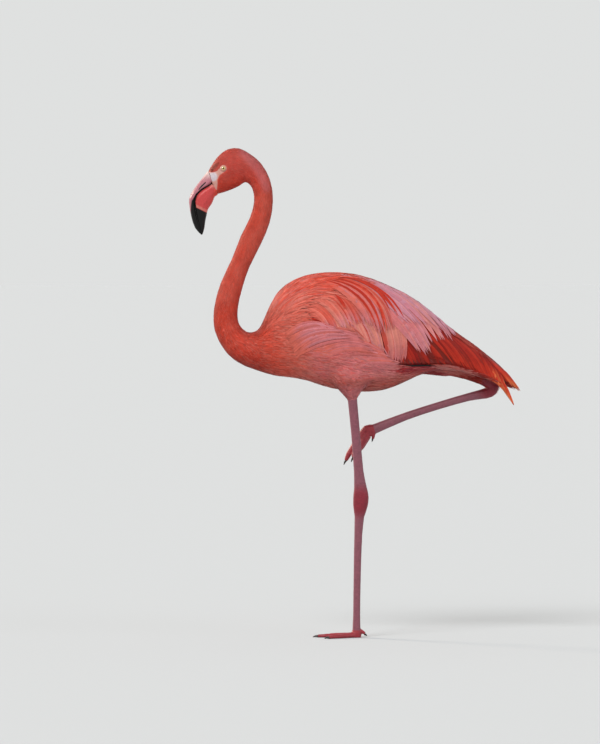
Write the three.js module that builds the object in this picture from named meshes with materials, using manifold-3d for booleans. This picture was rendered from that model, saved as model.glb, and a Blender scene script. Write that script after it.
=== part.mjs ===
// An American flamingo standing on its left leg, the right leg drawn up behind it.
// Millimetres, +Z up. The bird faces -X and its left side faces -Y. The origin lies under the sole
// of the standing foot, in the bird's own mid-plane.
import * as THREE from "three";
import { mergeVertices } from "three/addons/utils/BufferGeometryUtils.js";
import Module from "manifold-3d";

const wasm = await Module();
wasm.setup();

// ---------------------------------------------------------------- driving dimensions
const GAP = 0.3; // between neighbouring pieces
const TARSUS_LENGTH = 282; // from the ankle to the base of the toes
const ANKLE_Z = 6 + TARSUS_LENGTH; // height of the standing ankle
const MIDDLE_TOE = 76; // without its claw
const WING_THICKNESS = 13; // folded wing with its coverts
const EYE_RADIUS = 7;
const WEB_THICKNESS = 2.2;
const BODY_SIDES = 18; // corners round a section of the body
const LIMB_SIDES = 12;

const COLOUR = {
  neck: 0xd6553c,
  body: 0xd8705f,
  wing: 0xe39a90,
  tail: 0xcf4426,
  legSkin: 0xb05a70,
  joint: 0xb03a48,
  billPale: 0xd9a3a3,
  billRed: 0xd0606a,
  claw: 0x1c1716,
  eye: 0xe8d98a,
};

// ---------------------------------------------------------------- solids
const vec = (x, y, z) => new THREE.Vector3(x, y, z);

const through = (points) => new THREE.CatmullRomCurve3(points, false, "centripetal");

// A closed mesh with merged vertices as a manifold-3d solid, its faces turned outwards.
function solidOf(geometry) {
  const bare = new THREE.BufferGeometry();
  const flat = geometry.index ? geometry.toNonIndexed() : geometry;
  bare.setAttribute("position", flat.getAttribute("position"));
  const merged = mergeVertices(bare, 1e-4);
  const make = (triVerts) =>
    new wasm.Manifold(
      new wasm.Mesh({ numProp: 3, vertProperties: merged.attributes.position.array, triVerts }),
    );
  const triangles = new Uint32Array(merged.index.array);
  const solid = make(triangles);
  if (solid.volume() > 0) return solid;
  for (let i = 0; i < triangles.length; i += 3) {
    [triangles[i + 1], triangles[i + 2]] = [triangles[i + 2], triangles[i + 1]];
  }
  return make(triangles);
}

// A solid as a geometry for a mesh.
function geometryOf(solid) {
  const mesh = solid.getMesh();
  const positions = new Float32Array(mesh.numVert * 3);
  for (let i = 0; i < mesh.numVert; i++) {
    positions.set(mesh.vertProperties.subarray(i * mesh.numProp, i * mesh.numProp + 3), i * 3);
  }
  const geometry = new THREE.BufferGeometry();
  geometry.setAttribute("position", new THREE.BufferAttribute(positions, 3));
  geometry.setIndex(new THREE.BufferAttribute(mesh.triVerts, 1));
  return geometry;
}

// The closed solid inside a row of rings, with a fan of triangles across each end ring.
function solidOver(rings) {
  const sides = rings[0].length;
  const positions = [];
  const add = (p) => positions.push(p.x, p.y, p.z);
  for (let r = 0; r + 1 < rings.length; r++) {
    for (let k = 0; k < sides; k++) {
      const next = (k + 1) % sides;
      const [a, b] = [rings[r][k], rings[r][next]];
      const [c, d] = [rings[r + 1][k], rings[r + 1][next]];
      [a, b, c, b, d, c].forEach(add);
    }
  }
  const middleOf = (ring) =>
    ring.reduce((sum, p) => sum.add(p), vec(0, 0, 0)).divideScalar(sides);
  const last = rings[rings.length - 1];
  for (let k = 0; k < sides; k++) {
    const next = (k + 1) % sides;
    [rings[0][next], rings[0][k], middleOf(rings[0])].forEach(add);
    [last[k], last[next], middleOf(last)].forEach(add);
  }
  const geometry = new THREE.BufferGeometry();
  geometry.setAttribute("position", new THREE.Float32BufferAttribute(positions, 3));
  return solidOf(geometry);
}

// A body swept along the mid-plane. A station [topX, topZ, bottomX, bottomZ, halfWidth] is one
// section; from and to count stations. widest is where the section is widest, from -1 at the
// bottom to 1 at the top; square above 1 fills its corners; grow swells it all round.
function loft(stations, options = {}) {
  const last = stations.length - 1;
  const { from = 0, to = last, perStation = 2, sides = BODY_SIDES } = options;
  const { widest = 0, square = 1, grow = 0 } = options;
  const top = through(stations.map((s) => vec(s[0], s[4], s[1])));
  const bottom = through(stations.map((s) => vec(s[2], s[4], s[3])));
  const steps = Math.max(2, Math.round((to - from) * perStation));
  const bulge = (value) => Math.sign(value) * Math.abs(value) ** (1 / square);
  const rings = [];
  for (let i = 0; i <= steps; i++) {
    const at = (from + ((to - from) * i) / steps) / last;
    const high = top.getPoint(at);
    const low = bottom.getPoint(at);
    const halfWidth = (high.y + low.y) / 2 + grow;
    const middle = vec((high.x + low.x) / 2, 0, (high.z + low.z) / 2);
    const up = vec((high.x - low.x) / 2, 0, (high.z - low.z) / 2);
    up.setLength(up.length() + grow);
    const ring = [];
    for (let k = 0; k < sides; k++) {
      const angle = (2 * Math.PI * k) / sides;
      const c = bulge(Math.cos(angle));
      const along = widest + (c > 0 ? 1 - widest : 1 + widest) * c;
      const across = bulge(Math.sin(angle)) * halfWidth;
      ring.push(middle.clone().addScaledVector(up, along).add(vec(0, across, 0)));
    }
    rings.push(ring);
  }
  const ahead = rings[0][0].clone().sub(rings[1][0]).setLength(grow);
  const behind = rings[steps][0].clone().sub(rings[steps - 1][0]).setLength(grow);
  rings[0].forEach((p) => p.add(ahead));
  rings[steps].forEach((p) => p.add(behind));
  return solidOver(rings);
}

// A limb along points in space. Each station is [x, y, z, radius, depth], where depth is its radius
// along the bird's own mid-plane when that differs. floor cuts its underside flat at that height.
function limb(stations, options = {}) {
  const { perStation = 2, sides = LIMB_SIDES, grow = 0, floor = -Infinity } = options;
  const last = stations.length - 1;
  const path = through(stations.map((s) => vec(s[0], s[1], s[2])));
  const size = through(stations.map((s, i) => vec(s[3], s[4] ?? s[3], i)));
  const steps = last * perStation;
  const rings = [];
  for (let i = 0; i <= steps; i++) {
    const t = i / steps;
    const centre = path.getPoint(t);
    const tangent = path.getTangent(t);
    const radius = size.getPoint(t);
    const lies = Math.abs(tangent.y) > 0.3 || options.lying;
    const across = lies ? tangent.clone().cross(vec(0, 0, 1)).normalize() : vec(0, 1, 0);
    const along = across.clone().cross(tangent).normalize();
    across.crossVectors(tangent, along).normalize();
    const ring = [];
    for (let k = 0; k < sides; k++) {
      const angle = (2 * Math.PI * k) / sides;
      const p = centre.clone();
      p.addScaledVector(across, Math.cos(angle) * (radius.x + grow));
      p.addScaledVector(along, Math.sin(angle) * (radius.y + grow));
      p.z = Math.max(p.z, floor);
      ring.push(p);
    }
    rings.push(ring);
  }
  const ends = [path.getTangent(0).setLength(-grow), path.getTangent(1).setLength(grow)];
  rings[0].forEach((p) => p.add(ends[0]));
  rings[steps].forEach((p) => p.add(ends[1]));
  return solidOver(rings);
}

// A round ball.
function ballAt(centre, radius, rows) {
  const ball = new THREE.SphereGeometry(radius, rows * 2, rows);
  ball.translate(centre.x, centre.y, centre.z);
  return solidOf(ball);
}

// A slab right across one side of the bird, from its outline [x, z] in the mid-plane.
function slab(outline, nearY, farY) {
  const shape = new THREE.Shape(outline.map(([x, z]) => new THREE.Vector2(x, z)));
  const depth = Math.abs(farY - nearY);
  const block = new THREE.ExtrudeGeometry(shape, { depth, bevelEnabled: false });
  block.rotateX(Math.PI / 2);
  block.translate(0, Math.max(nearY, farY), 0);
  return solidOf(block);
}

// A smooth closed outline through a few corners.
function smoothOutline(corners, count) {
  const curve = new THREE.CatmullRomCurve3(corners.map(([x, z]) => vec(x, 0, z)), true);
  return curve.getPoints(count).slice(0, -1).map((p) => [p.x, p.z]);
}

// The same outline moved outwards all round; the corners run clockwise.
function widened(outline, by) {
  const count = outline.length;
  return outline.map(([x, z], i) => {
    const [ax, az] = outline[(i + count - 1) % count];
    const [bx, bz] = outline[(i + 1) % count];
    const length = Math.hypot(bx - ax, bz - az);
    return [x - ((bz - az) / length) * by, z + ((bx - ax) / length) * by];
  });
}

const flamingo = new THREE.Group();
const materials = {};

function material(colour, roughness) {
  const key = `${colour}-${roughness}`;
  materials[key] ??= new THREE.MeshStandardMaterial({ color: colour, roughness, metalness: 0 });
  return materials[key];
}

function place(name, solid, colour, roughness = 0.8) {
  const mesh = new THREE.Mesh(geometryOf(solid), material(colour, roughness));
  mesh.name = name;
  flamingo.add(mesh);
}

// ---------------------------------------------------------------- body outline
// Head from the base of the bill to the nape.
const HEAD = [
  [-311, 981, -295, 931, 14],
  [-304, 993, -287, 933, 18],
  [-292, 1010, -274, 937, 22],
  [-272, 1026, -261, 942, 25],
  [-248, 1029, -246, 949, 25.5],
  [-224, 1017, -235, 957, 24],
];

// Neck from the nape down its long S to the breast.
const NECK = [
  [-201, 998, -229, 956, 22],
  [-181, 962, -219, 944, 20],
  [-175, 919, -215, 918, 19],
  [-182, 872, -224, 883, 19.5],
  [-201, 826, -242, 847, 20.5],
  [-225, 778, -262, 796, 20],
  [-240, 733, -286, 744, 21],
  [-249, 690, -300, 690, 23],
  [-247, 661, -298, 644, 25.5],
  [-230, 643, -272, 597, 32],
];

// Trunk from the base of the neck over the back and belly.
const TRUNK = [
  [-211, 644, -240, 573, 41],
  [-198, 662, -205, 560, 52],
  [-184, 696, -172, 550, 62],
  [-163, 730, -137, 546, 71],
  [-134, 752, -104, 540, 77],
  [-92, 766, -70, 528, 81],
  [-38, 769, -30, 519, 83],
  [14, 762, 12, 516, 82],
  [62, 744, 55, 519, 79],
  [112, 720, 92, 532, 73],
  [158, 686, 128, 550, 64],
];

// Folded wing tips and tail, beyond the rump.
const REAR = [
  [200, 650, 168, 561, 54],
  [244, 620, 212, 560, 44],
  [279, 592, 250, 553, 36],
  [306, 568, 284, 543, 26],
  [328, 545, 314, 528, 15],
  [345, 520, 343, 517, 4],
];

const OUTLINE = [...HEAD, ...NECK, ...TRUNK, ...REAR];
const NAPE = HEAD.length - 0.5;
const NECK_CUT_1 = HEAD.length + 3;
const NECK_CUT_2 = HEAD.length + 6.5;
const BREAST = HEAD.length + NECK.length - 0.5;
// Sections of the trunk are a little fuller above their middle.
const PLUMP = { widest: 0.08, square: 1.08, perStation: 1.5 };
const STATION_LENGTH = 40; // about, from one station to the next

// Part of the body between two cuts, each of which leaves half the gap on this side.
function bodyLength(from, to, options = {}) {
  const half = GAP / 2 / STATION_LENGTH;
  return loft(OUTLINE, { from: from + half, to: to - half, ...options });
}

// ---------------------------------------------------------------- eyes
const EYE = vec(-279, 19, 986); // the right one

function eyeBall(side, grow = 0) {
  return ballAt(vec(EYE.x, side * EYE.y, EYE.z), EYE_RADIUS + grow, 6);
}

// ---------------------------------------------------------------- bill
// Each half is a loft from the face to the tip. The upper half is a shallow lid over the deep,
// keeled lower one, and both bend down in the middle.
const BILL_UPPER = [
  [-311.6, 981, -301, 957.5, 13],
  [-326, 962, -310, 950.5, 13.5],
  [-342, 941, -324.5, 942.5, 13.5],
  [-351, 922, -336, 931, 13],
  [-350.5, 909, -340.5, 917.5, 12],
  [-346.5, 885, -336.5, 886, 9.5],
  [-338.5, 861, -331, 866, 6.5],
  [-325, 846, -324.6, 846.8, 1],
];
const BILL_LOWER = [
  [-300.8, 956.4, -295.6, 931.6, 13.5],
  [-309.6, 949.4, -300, 922, 15],
  [-323.7, 941.4, -304, 912, 16],
  [-335.2, 930.2, -312, 900.5, 16],
  [-339.2, 917.2, -314.5, 889.5, 14.5],
  [-335.3, 886.2, -317.5, 876, 10],
  [-329.8, 866.6, -319.5, 861, 6.5],
  [-324, 847.4, -323.6, 846.6, 1],
];
const NOSTRIL = { x: -324, y: 12.5, z: 949, length: 19, height: 1.6, depth: 4, slope: 0.82 };

function nostril(side) {
  const slit = new THREE.BoxGeometry(NOSTRIL.length, NOSTRIL.depth, NOSTRIL.height);
  slit.rotateY(-NOSTRIL.slope);
  slit.translate(NOSTRIL.x, side * NOSTRIL.y, NOSTRIL.z);
  return solidOf(slit);
}

function addHead() {
  const head = bodyLength(0, NAPE, { widest: 0.1 });
  place("head", head.subtract(eyeBall(-1, GAP)).subtract(eyeBall(1, GAP)), COLOUR.neck);
  const face = bodyLength(0, 3, { widest: 0.1, grow: GAP });
  place("eye_left", eyeBall(-1), COLOUR.eye, 0.15);
  place("eye_right", eyeBall(1), COLOUR.eye, 0.15);

  const upper = loft(BILL_UPPER, { widest: -0.6, sides: 12 }).subtract(face);
  const lower = loft(BILL_LOWER, { widest: 0.55, sides: 12 }).subtract(face);
  place("bill_upper", upper.subtract(nostril(-1)).subtract(nostril(1)), COLOUR.billPale, 0.4);
  place("bill_lower", lower, COLOUR.billRed, 0.4);
}

function addNeck() {
  place("neck_upper", bodyLength(NAPE, NECK_CUT_1), COLOUR.neck);
  place("neck_middle", bodyLength(NECK_CUT_1, NECK_CUT_2), COLOUR.neck);
  place("neck_lower", bodyLength(NECK_CUT_2, BREAST), COLOUR.neck);
}

// ---------------------------------------------------------------- legs
// The standing leg: feathered thigh, bare shank, ankle and tarsus down to the foot.
const LEFT_THIGH = [
  [-24, -50, 612, 8, 14],
  [-18, -48, 588, 22, 34],
  [-14, -45, 554, 27, 40],
  [-12, -43, 532, 23, 33],
  [-10.5, -42, 515, 15, 20],
  [-9, -41, 503, 10.3, 10.8],
];
const LEFT_TIBIA = [
  [-8.9, -40.7, 502.4, 9.6, 9.9],
  [-2, -32, 430, 8.8, 9.4],
  [4.4, -23, 352, 8.9, 10],
  [8.2, -18, 316, 10.8, 13.4],
];
const LEFT_ANKLE = [
  [8.3, -17.8, 315.4, 11, 13.6],
  [9.4, -15.6, ANKLE_Z + 8, 13, 16.4],
  [8.4, -14.4, ANKLE_Z - 8, 12.6, 15.6],
  [6.2, -12.6, 256, 9.2, 10.4],
];
const LEFT_TARSUS = [
  [6.1, -12.4, 255.4, 9, 10.2],
  [3.8, -9.6, 216, 7.4, 8.4],
  [1.6, -5.4, 130, 6.9, 7.6],
  [0.6, -2, 50, 7, 7.4],
  [0.2, -0.6, 16, 8.2, 8.6],
];

// The raised leg: the thigh runs back along the flank to the heel under the tail, and the tarsus
// comes forward again to the folded foot behind the standing leg.
const RIGHT_THIGH = [
  [14, 52, 632, 10, 20],
  [58, 52, 612, 27, 42],
  [108, 49, 588, 25, 36],
  [152, 45, 572, 17, 21],
  [196, 41, 560, 11.5, 13],
];
const RIGHT_TIBIA = [
  [196.7, 40.9, 559.8, 9, 10.2],
  [232, 37, 551, 8.4, 9.2],
  [266, 33.5, 541, 10, 11],
];
const RIGHT_ANKLE = [
  [266.6, 33.4, 540.8, 10.2, 11.2],
  [281, 32, 535, 12.2, 13.4],
  [288, 31.4, 526, 12.6, 13.6],
  [280, 31, 515.5, 11.6, 12],
  [264, 30.4, 511, 9.6, 10.4],
];
const RIGHT_TARSUS = [
  [263.4, 30.4, 510.8, 9.4, 10.2],
  [236, 29.6, 505, 7.8, 8.4],
  [170, 27, 486, 7.2, 7.8],
  [104, 24.4, 464.5, 7.1, 8.2],
  [38, 22, 438, 8.6, 10.4],
];

// ---------------------------------------------------------------- feet
// A toe from its knuckle to the root of its claw, then the claw.
function toe(points, radii, options) {
  return limb(points.map((p, i) => [...p, radii[i]]), { sides: 8, perStation: 1, ...options });
}

function claw(root, tip, radius, options = {}) {
  const middle = root.map((value, i) => (value + tip[i]) / 2);
  middle[2] += radius * 0.35; // a claw curves down
  const stations = [
    [...root, radius],
    [...middle, radius * 0.72],
    [...tip, radius * 0.2],
  ];
  return limb(stations, { sides: 6, perStation: 1, ...options });
}

// The web between two toes: a thin sheet whose free edge is hollowed between the toe tips.
function web(pointsA, pointsB) {
  const reach = 0.95;
  const [a, b] = [pointsA, pointsB].map((points) => through(points.map((p) => vec(...p))));
  const across = 3;
  const along = 3;
  const grid = [];
  for (let i = 0; i <= across; i++) {
    const u = i / across;
    const hollow = 1 - 0.26 * Math.sin(Math.PI * u);
    const row = [];
    for (let j = 0; j <= along; j++) {
      const t = (j / along) * reach * hollow;
      row.push(a.getPoint(t).lerp(b.getPoint(t), u));
    }
    grid.push(row);
  }
  const normal = grid[0][along].clone().sub(grid[0][0]);
  normal.cross(grid[across][along].clone().sub(grid[0][0])).setLength(WEB_THICKNESS / 2);
  const rings = grid.map((row) => [
    ...row.map((p) => p.clone().add(normal)),
    ...row.map((p) => p.clone().sub(normal)).reverse(),
  ]);
  return solidOver(rings);
}

const joined = (solids) => solids.reduce((sum, solid) => sum.add(solid));

// Three front toes, their webs and the pad that joins them to the tarsus.
function footSolid(pad, toes, radii, options) {
  const [inner, middle, outer] = toes;
  const flesh = toes.map((points) => toe(points, radii, options));
  return joined([pad, ...flesh, web(inner, middle), web(middle, outer)]);
}

// A splayed toe on the floor, leaving the knuckle at an angle from straight ahead.
function splayedToe(angle, length, height) {
  const [dx, dy] = [-Math.cos(angle), Math.sin(angle)];
  const knuckle = 5;
  return [0, 0.34, 0.68, 1].map((share, i) => {
    const reach = knuckle + share * length;
    return [dx * reach, dy * reach, height - 0.5 * i];
  });
}

const TOE_RADII = [6.6, 5.2, 4.6, 3.4];
const FOLDED_RADII = [8, 7.2, 6, 4];
const SPLAY = 0.58;
const STANDING_TOES = {
  inner: splayedToe(SPLAY, MIDDLE_TOE * 0.8, 4.6),
  middle: splayedToe(0, MIDDLE_TOE, 4.6),
  outer: splayedToe(-SPLAY * 1.05, MIDDLE_TOE * 0.87, 4.6),
};
const FOLDED_TOES = {
  inner: [[22, 18, 424], [8, 12, 402], [-3, 8, 389], [-7, 7, 379]],
  middle: [[15, 22, 430], [-2, 21, 406], [-16, 20, 385], [-22, 20, 372]],
  outer: [[24, 26, 424], [11, 30, 402], [0, 33, 388], [-6, 34, 377]],
};

// The point a little past the end of a toe, in the direction the toe ends in.
function beyond(points, distance, drop = 0) {
  const [a, b] = [vec(...points[2]), vec(...points[3])];
  const direction = b.clone().sub(a).normalize();
  const p = b.addScaledVector(direction, distance);
  return [p.x, p.y, p.z - drop];
}

// The pad under the tarsus, from which the toes spread.
const LEFT_PAD = [
  [0.2, -0.5, 15.4, 8.2, 8.8],
  [0, 0, 9, 9.6, 11],
  [-2, 0, 2, 9.6, 12],
  [-2, 0, -6, 9, 11],
];
const RIGHT_PAD = [
  [37.4, 22, 437.2, 8.6, 10.2],
  [24, 22, 434, 9.4, 13],
  [14, 22, 421, 8, 12],
];

function addClaws(side, toes, standing) {
  const floor = standing ? 0 : -Infinity;
  for (const [name, points] of Object.entries(toes)) {
    const root = beyond(points, 2 * GAP);
    const tip = beyond(points, 11, standing ? 2.2 : 0);
    place(`claw_${side}_${name}`, claw(root, tip, 3, { floor, lying: true }), COLOUR.claw, 0.5);
  }
}

function addFeet() {
  const leftPad = limb(LEFT_PAD, { floor: 0 });
  const standing = Object.values(STANDING_TOES);
  const leftFoot = footSolid(leftPad, standing, TOE_RADII, { floor: 0, lying: true });
  place("foot_left", leftFoot, COLOUR.joint);
  addClaws("left", STANDING_TOES, true);

  const rightPad = limb(RIGHT_PAD);
  const rightTarsus = limb(RIGHT_TARSUS, { grow: GAP });
  const rightToes = Object.values(FOLDED_TOES);
  const rightFoot = footSolid(rightPad, rightToes, FOLDED_RADII).subtract(rightTarsus);
  place("foot_right", rightFoot, COLOUR.joint);
  addClaws("right", FOLDED_TOES, false);

  // The short hind toes, raised behind the foot.
  const leftHind = limb([[6, 0, 16, 4], [13, 0, 12, 3.4], [18, 0, 8, 2.8]], { sides: 8 });
  const leftTarsus = limb(LEFT_TARSUS, { grow: GAP });
  const leftPadGrown = limb(LEFT_PAD, { floor: 0, sides: 12, grow: GAP });
  place("hallux_left", leftHind.subtract(leftPadGrown).subtract(leftTarsus), COLOUR.joint);
  place("claw_left_hallux", claw([18.4, 0, 7.4], [22.5, 0, 2.5], 2.4), COLOUR.claw, 0.5);

  const rightHind = limb([[37, 22, 431, 4], [36, 22, 423, 3.4], [35, 22, 417, 2.8]], { sides: 8 });
  const rightPadGrown = limb(RIGHT_PAD, { grow: GAP });
  place("hallux_right", rightHind.subtract(rightPadGrown).subtract(rightTarsus), COLOUR.joint);
  place("claw_right_hallux", claw([34.8, 22, 416.2], [32.5, 22, 410], 2.4), COLOUR.claw, 0.5);
}

// The bare leg from the thigh down to the foot; its shank and tarsus stop short of the ankle.
function addLeg(side, tibia, ankle, tarsus) {
  const ankleGrown = limb(ankle, { grow: GAP });
  place(`tibia_${side}`, limb(tibia).subtract(ankleGrown), COLOUR.legSkin);
  place(`ankle_${side}`, limb(ankle), COLOUR.joint);
  place(`tarsus_${side}`, limb(tarsus).subtract(ankleGrown), COLOUR.legSkin);
}

// ---------------------------------------------------------------- trunk, wings and tail
// The wing seen from the side, clockwise from its bend at the shoulder. Behind the rump it covers
// the whole depth of the body.
const WING_CORNERS = [
  [-158, 655], [-128, 712], [-60, 724], [20, 724], [90, 700], [160, 668], [215, 650],
  [290, 610], [362, 540], [362, 500], [290, 520], [200, 545],
  [120, 572], [40, 580], [-30, 596], [-100, 618],
];

// The tail lies between the wing tips, a flat wedge of twelve feathers.
const TAIL = [
  [190, 596, 176, 566, 40],
  [236, 580, 216, 560, 42],
  [276, 560, 256, 548, 38],
  [310, 538, 300, 530, 26],
];

const FLAT = { square: 1.5, sides: 8 };

// The narrow inner body that the folded wings lie against.
function innerBody(grow) {
  const first = HEAD.length + NECK.length + 2;
  const stations = OUTLINE.slice(first, first + 10).map(([tx, tz, bx, bz, half], i) => {
    const tuck = i > 5 ? (i - 5) * 7 : 0; // the rump drops away below the wing tips
    return [tx - tuck * 0.4, tz - tuck, bx, bz + 2, half - WING_THICKNESS];
  });
  return loft(stations, { ...PLUMP, sides: 10, perStation: 1, grow });
}

// Long loose feathers that hang from the wing tip past the tail.
function plumes(side) {
  const longTip = [
    [292, side * 16, 566, 7, 8], [318, side * 13, 546, 5, 6], [345, side * 10, 519, 1.4, 1.6],
  ];
  const droop = [
    [292, side * 20, 546, 6, 9], [314, side * 19, 522, 4.5, 7], [331, side * 18, 488, 1.2, 1.6],
  ];
  return joined([longTip, droop].map((points) => limb(points, { sides: 6 })));
}

function addTrunk() {
  const hull = bodyLength(BREAST, OUTLINE.length - 1, PLUMP);
  const outline = smoothOutline(WING_CORNERS, 22);
  const inner = innerBody(0);
  const innerGrown = innerBody(GAP);
  const rightLeg = joined([
    limb(RIGHT_THIGH, { grow: GAP }),
    limb(RIGHT_TIBIA, { grow: GAP }),
    limb(RIGHT_ANKLE, { grow: GAP }),
  ]);
  const tail = loft(TAIL, FLAT);
  const tailGrown = loft(TAIL, { ...FLAT, grow: GAP });

  const cutout = joined([-1, 1].map((side) => slab(widened(outline, GAP), -side, side * 150)));
  const trunk = hull.subtract(cutout).add(inner).subtract(rightLeg);
  place("trunk", trunk, COLOUR.body);
  place("tail", tail.subtract(innerGrown).subtract(rightLeg), COLOUR.tail);

  for (const [name, side] of [["left", -1], ["right", 1]]) {
    const wing = hull.intersect(slab(outline, side * GAP / 2, side * 150));
    const whole = wing.add(plumes(side)).subtract(innerGrown).subtract(tailGrown);
    place(`wing_${name}`, whole.subtract(rightLeg), COLOUR.wing);
  }

  const hullGrown = bodyLength(BREAST, OUTLINE.length - 1, { ...PLUMP, grow: GAP });
  place("thigh_left", limb(LEFT_THIGH).subtract(hullGrown), COLOUR.body);
  place("thigh_right", limb(RIGHT_THIGH), COLOUR.body);
}

addHead();
addNeck();
addTrunk();
addLeg("left", LEFT_TIBIA, LEFT_ANKLE, LEFT_TARSUS);
addLeg("right", RIGHT_TIBIA, RIGHT_ANKLE, RIGHT_TARSUS);
addFeet();

export default flamingo;
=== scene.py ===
"""An American flamingo on one leg: skin, feathers, bill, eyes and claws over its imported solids.

Metres. The bird faces -X and its left side faces -Y. The side view is x and z. Label means the number in
FLESH of the node that a point belongs to.
"""

import math

import bmesh
import bpy
import numpy as np
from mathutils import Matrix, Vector
from mathutils.bvhtree import BVHTree
from mathutils.kdtree import KDTree


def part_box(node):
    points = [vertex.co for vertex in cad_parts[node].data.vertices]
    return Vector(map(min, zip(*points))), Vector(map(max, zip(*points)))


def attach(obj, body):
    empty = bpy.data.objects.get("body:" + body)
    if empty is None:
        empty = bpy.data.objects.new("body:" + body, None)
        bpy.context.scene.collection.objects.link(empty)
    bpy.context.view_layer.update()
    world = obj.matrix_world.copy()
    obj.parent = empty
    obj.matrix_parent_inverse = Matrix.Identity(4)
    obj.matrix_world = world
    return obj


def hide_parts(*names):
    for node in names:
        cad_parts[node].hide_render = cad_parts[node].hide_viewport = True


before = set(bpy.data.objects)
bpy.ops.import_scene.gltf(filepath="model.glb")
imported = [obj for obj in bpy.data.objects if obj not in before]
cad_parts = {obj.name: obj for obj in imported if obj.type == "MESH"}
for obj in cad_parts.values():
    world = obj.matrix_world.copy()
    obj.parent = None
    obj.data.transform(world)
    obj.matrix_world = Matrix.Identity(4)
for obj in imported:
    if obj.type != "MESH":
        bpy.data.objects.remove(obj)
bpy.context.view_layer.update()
rng = np.random.default_rng(11)
MM = 0.001
TINY = 1e-6  # a length far below anything that shows
NOTHING = 1e-12  # keeps a division by a length of nothing from failing


# ---- small helpers
def srgb(*rgb):
    """A colour given as it looks, 0 to 255, as the linear numbers that shaders use."""
    c = np.array(rgb, float) / 255
    return np.where(c <= 0.04045, c / 12.92, ((c + 0.055) / 1.055) ** 2.4)


def smooth(low, high, x):
    """0 at low, 1 at high, a soft step between them, and level beyond; low may be the larger one."""
    t = np.clip((x - low) / (high - low), 0, 1)
    return t * t * (3 - 2 * t)


def mix(a, b, share):
    return a + (b - a) * share


def unit(v):
    return v / np.maximum(np.linalg.norm(v, axis=-1, keepdims=True), NOTHING)


def dot(a, b):
    return (a * b).sum(-1, keepdims=True)


def side_distance(points, x, z):
    """How far points lie from a place in the side view."""
    return np.hypot(points[:, 0] - x, points[:, 2] - z)


# ---- reading and making meshes
def read(items, what, kind=np.float32):
    """Three numbers of every item, as rows."""
    found = np.empty(len(items) * 3, kind)
    items.foreach_get(what, found)
    return found.reshape(-1, 3)


def points_of(mesh):
    return read(mesh.vertices, "co").astype(float)


def normals_of(mesh):
    return read(mesh.vertices, "normal").astype(float)


def triangles_of(mesh):
    mesh.calc_loop_triangles()
    return read(mesh.loop_triangles, "vertices", np.int32)


def move_points(mesh, points):
    mesh.vertices.foreach_set("co", np.asarray(points, np.float32).ravel())


def make_smooth(mesh):
    mesh.polygons.foreach_set("use_smooth", np.ones(len(mesh.polygons), bool))


def from_rows(name, points, faces):
    """A mesh from an array of points and a list of arrays of faces, each array of one number of corners."""
    mesh = bpy.data.meshes.new(name)
    mesh.vertices.add(len(points))
    move_points(mesh, points)
    corners = np.concatenate([f.ravel() for f in faces])
    sizes = np.concatenate([np.full(len(f), f.shape[1]) for f in faces])
    mesh.loops.add(len(corners))
    mesh.loops.foreach_set("vertex_index", corners.astype(np.int32))
    mesh.polygons.add(len(sizes))
    starts = np.concatenate([[0], np.cumsum(sizes)[:-1]])
    mesh.polygons.foreach_set("loop_start", starts.astype(np.int32))
    make_smooth(mesh)
    mesh.update(calc_edges=True)
    return mesh


def put(name, data):
    """A new object of the scene with this data."""
    piece = bpy.data.objects.new(name, data)
    bpy.context.scene.collection.objects.link(piece)
    return piece


def colour_points(mesh, colours):
    """Gives each point its own colour, which the materials read as Plumage."""
    layer = mesh.color_attributes.new("Plumage", "FLOAT_COLOR", "POINT")
    rgba = np.ones((len(mesh.vertices), 4), np.float32)
    rgba[:, :3] = colours
    layer.data.foreach_set("color", rgba.ravel())


def add_map(mesh, name, places):
    """A UV map, with a place for every corner of every face."""
    layer = mesh.uv_layers.new(name=name)
    layer.uv.foreach_set("vector", places.astype(np.float32).ravel())


def show(name, mesh, material, nodes=()):
    """Puts a finished piece into the scene, in place of these nodes."""
    make_smooth(mesh)
    mesh.materials.clear()
    mesh.materials.append(material)
    piece = put(name, mesh)
    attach(piece, "root")
    if nodes:
        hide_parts(*nodes)


def joined_nodes(names, swell):
    """The solids of these nodes as one mesh, each swollen a little, and the number of each face's node."""
    whole = bmesh.new()
    owner = []
    for i, name in enumerate(names):
        part = bmesh.new()
        part.from_mesh(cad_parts[name].data)
        bmesh.ops.remove_doubles(part, verts=part.verts, dist=0.01 * MM)
        part.normal_update()
        made = bpy.data.meshes.new(name + "_swollen")
        for v in part.verts:
            v.co += v.normal * swell
        part.to_mesh(made)
        whole.from_mesh(made)
        owner += [i] * (len(whole.faces) - len(owner))
        part.free()
        bpy.data.meshes.remove(made)
    mesh = bpy.data.meshes.new("joined")
    whole.to_mesh(mesh)
    whole.free()
    return mesh, np.array(owner)


def applied(mesh, *modifiers, **groups):
    """The mesh with modifiers applied, each given as its type and settings.

    groups are weights of the points, from 0 to 1.
    """
    piece = put("making", mesh)
    for name, weights in groups.items():
        group = piece.vertex_groups.new(name=name)
        levels = np.round(weights, 2)
        for level in np.unique(levels):
            group.add(np.nonzero(levels == level)[0].tolist(), float(level), "REPLACE")
    for kind, settings in modifiers:
        modifier = piece.modifiers.new(kind, kind)
        for key, value in settings.items():
            setattr(modifier, key, value)
    made = bpy.data.meshes.new_from_object(piece.evaluated_get(bpy.context.evaluated_depsgraph_get()))
    bpy.data.objects.remove(piece)
    return made


def voxels(size):
    return "REMESH", dict(mode="VOXEL", voxel_size=size)


def smoothing(rounds, **settings):
    return "SMOOTH", dict(factor=0.5, iterations=rounds, **settings)


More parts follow.
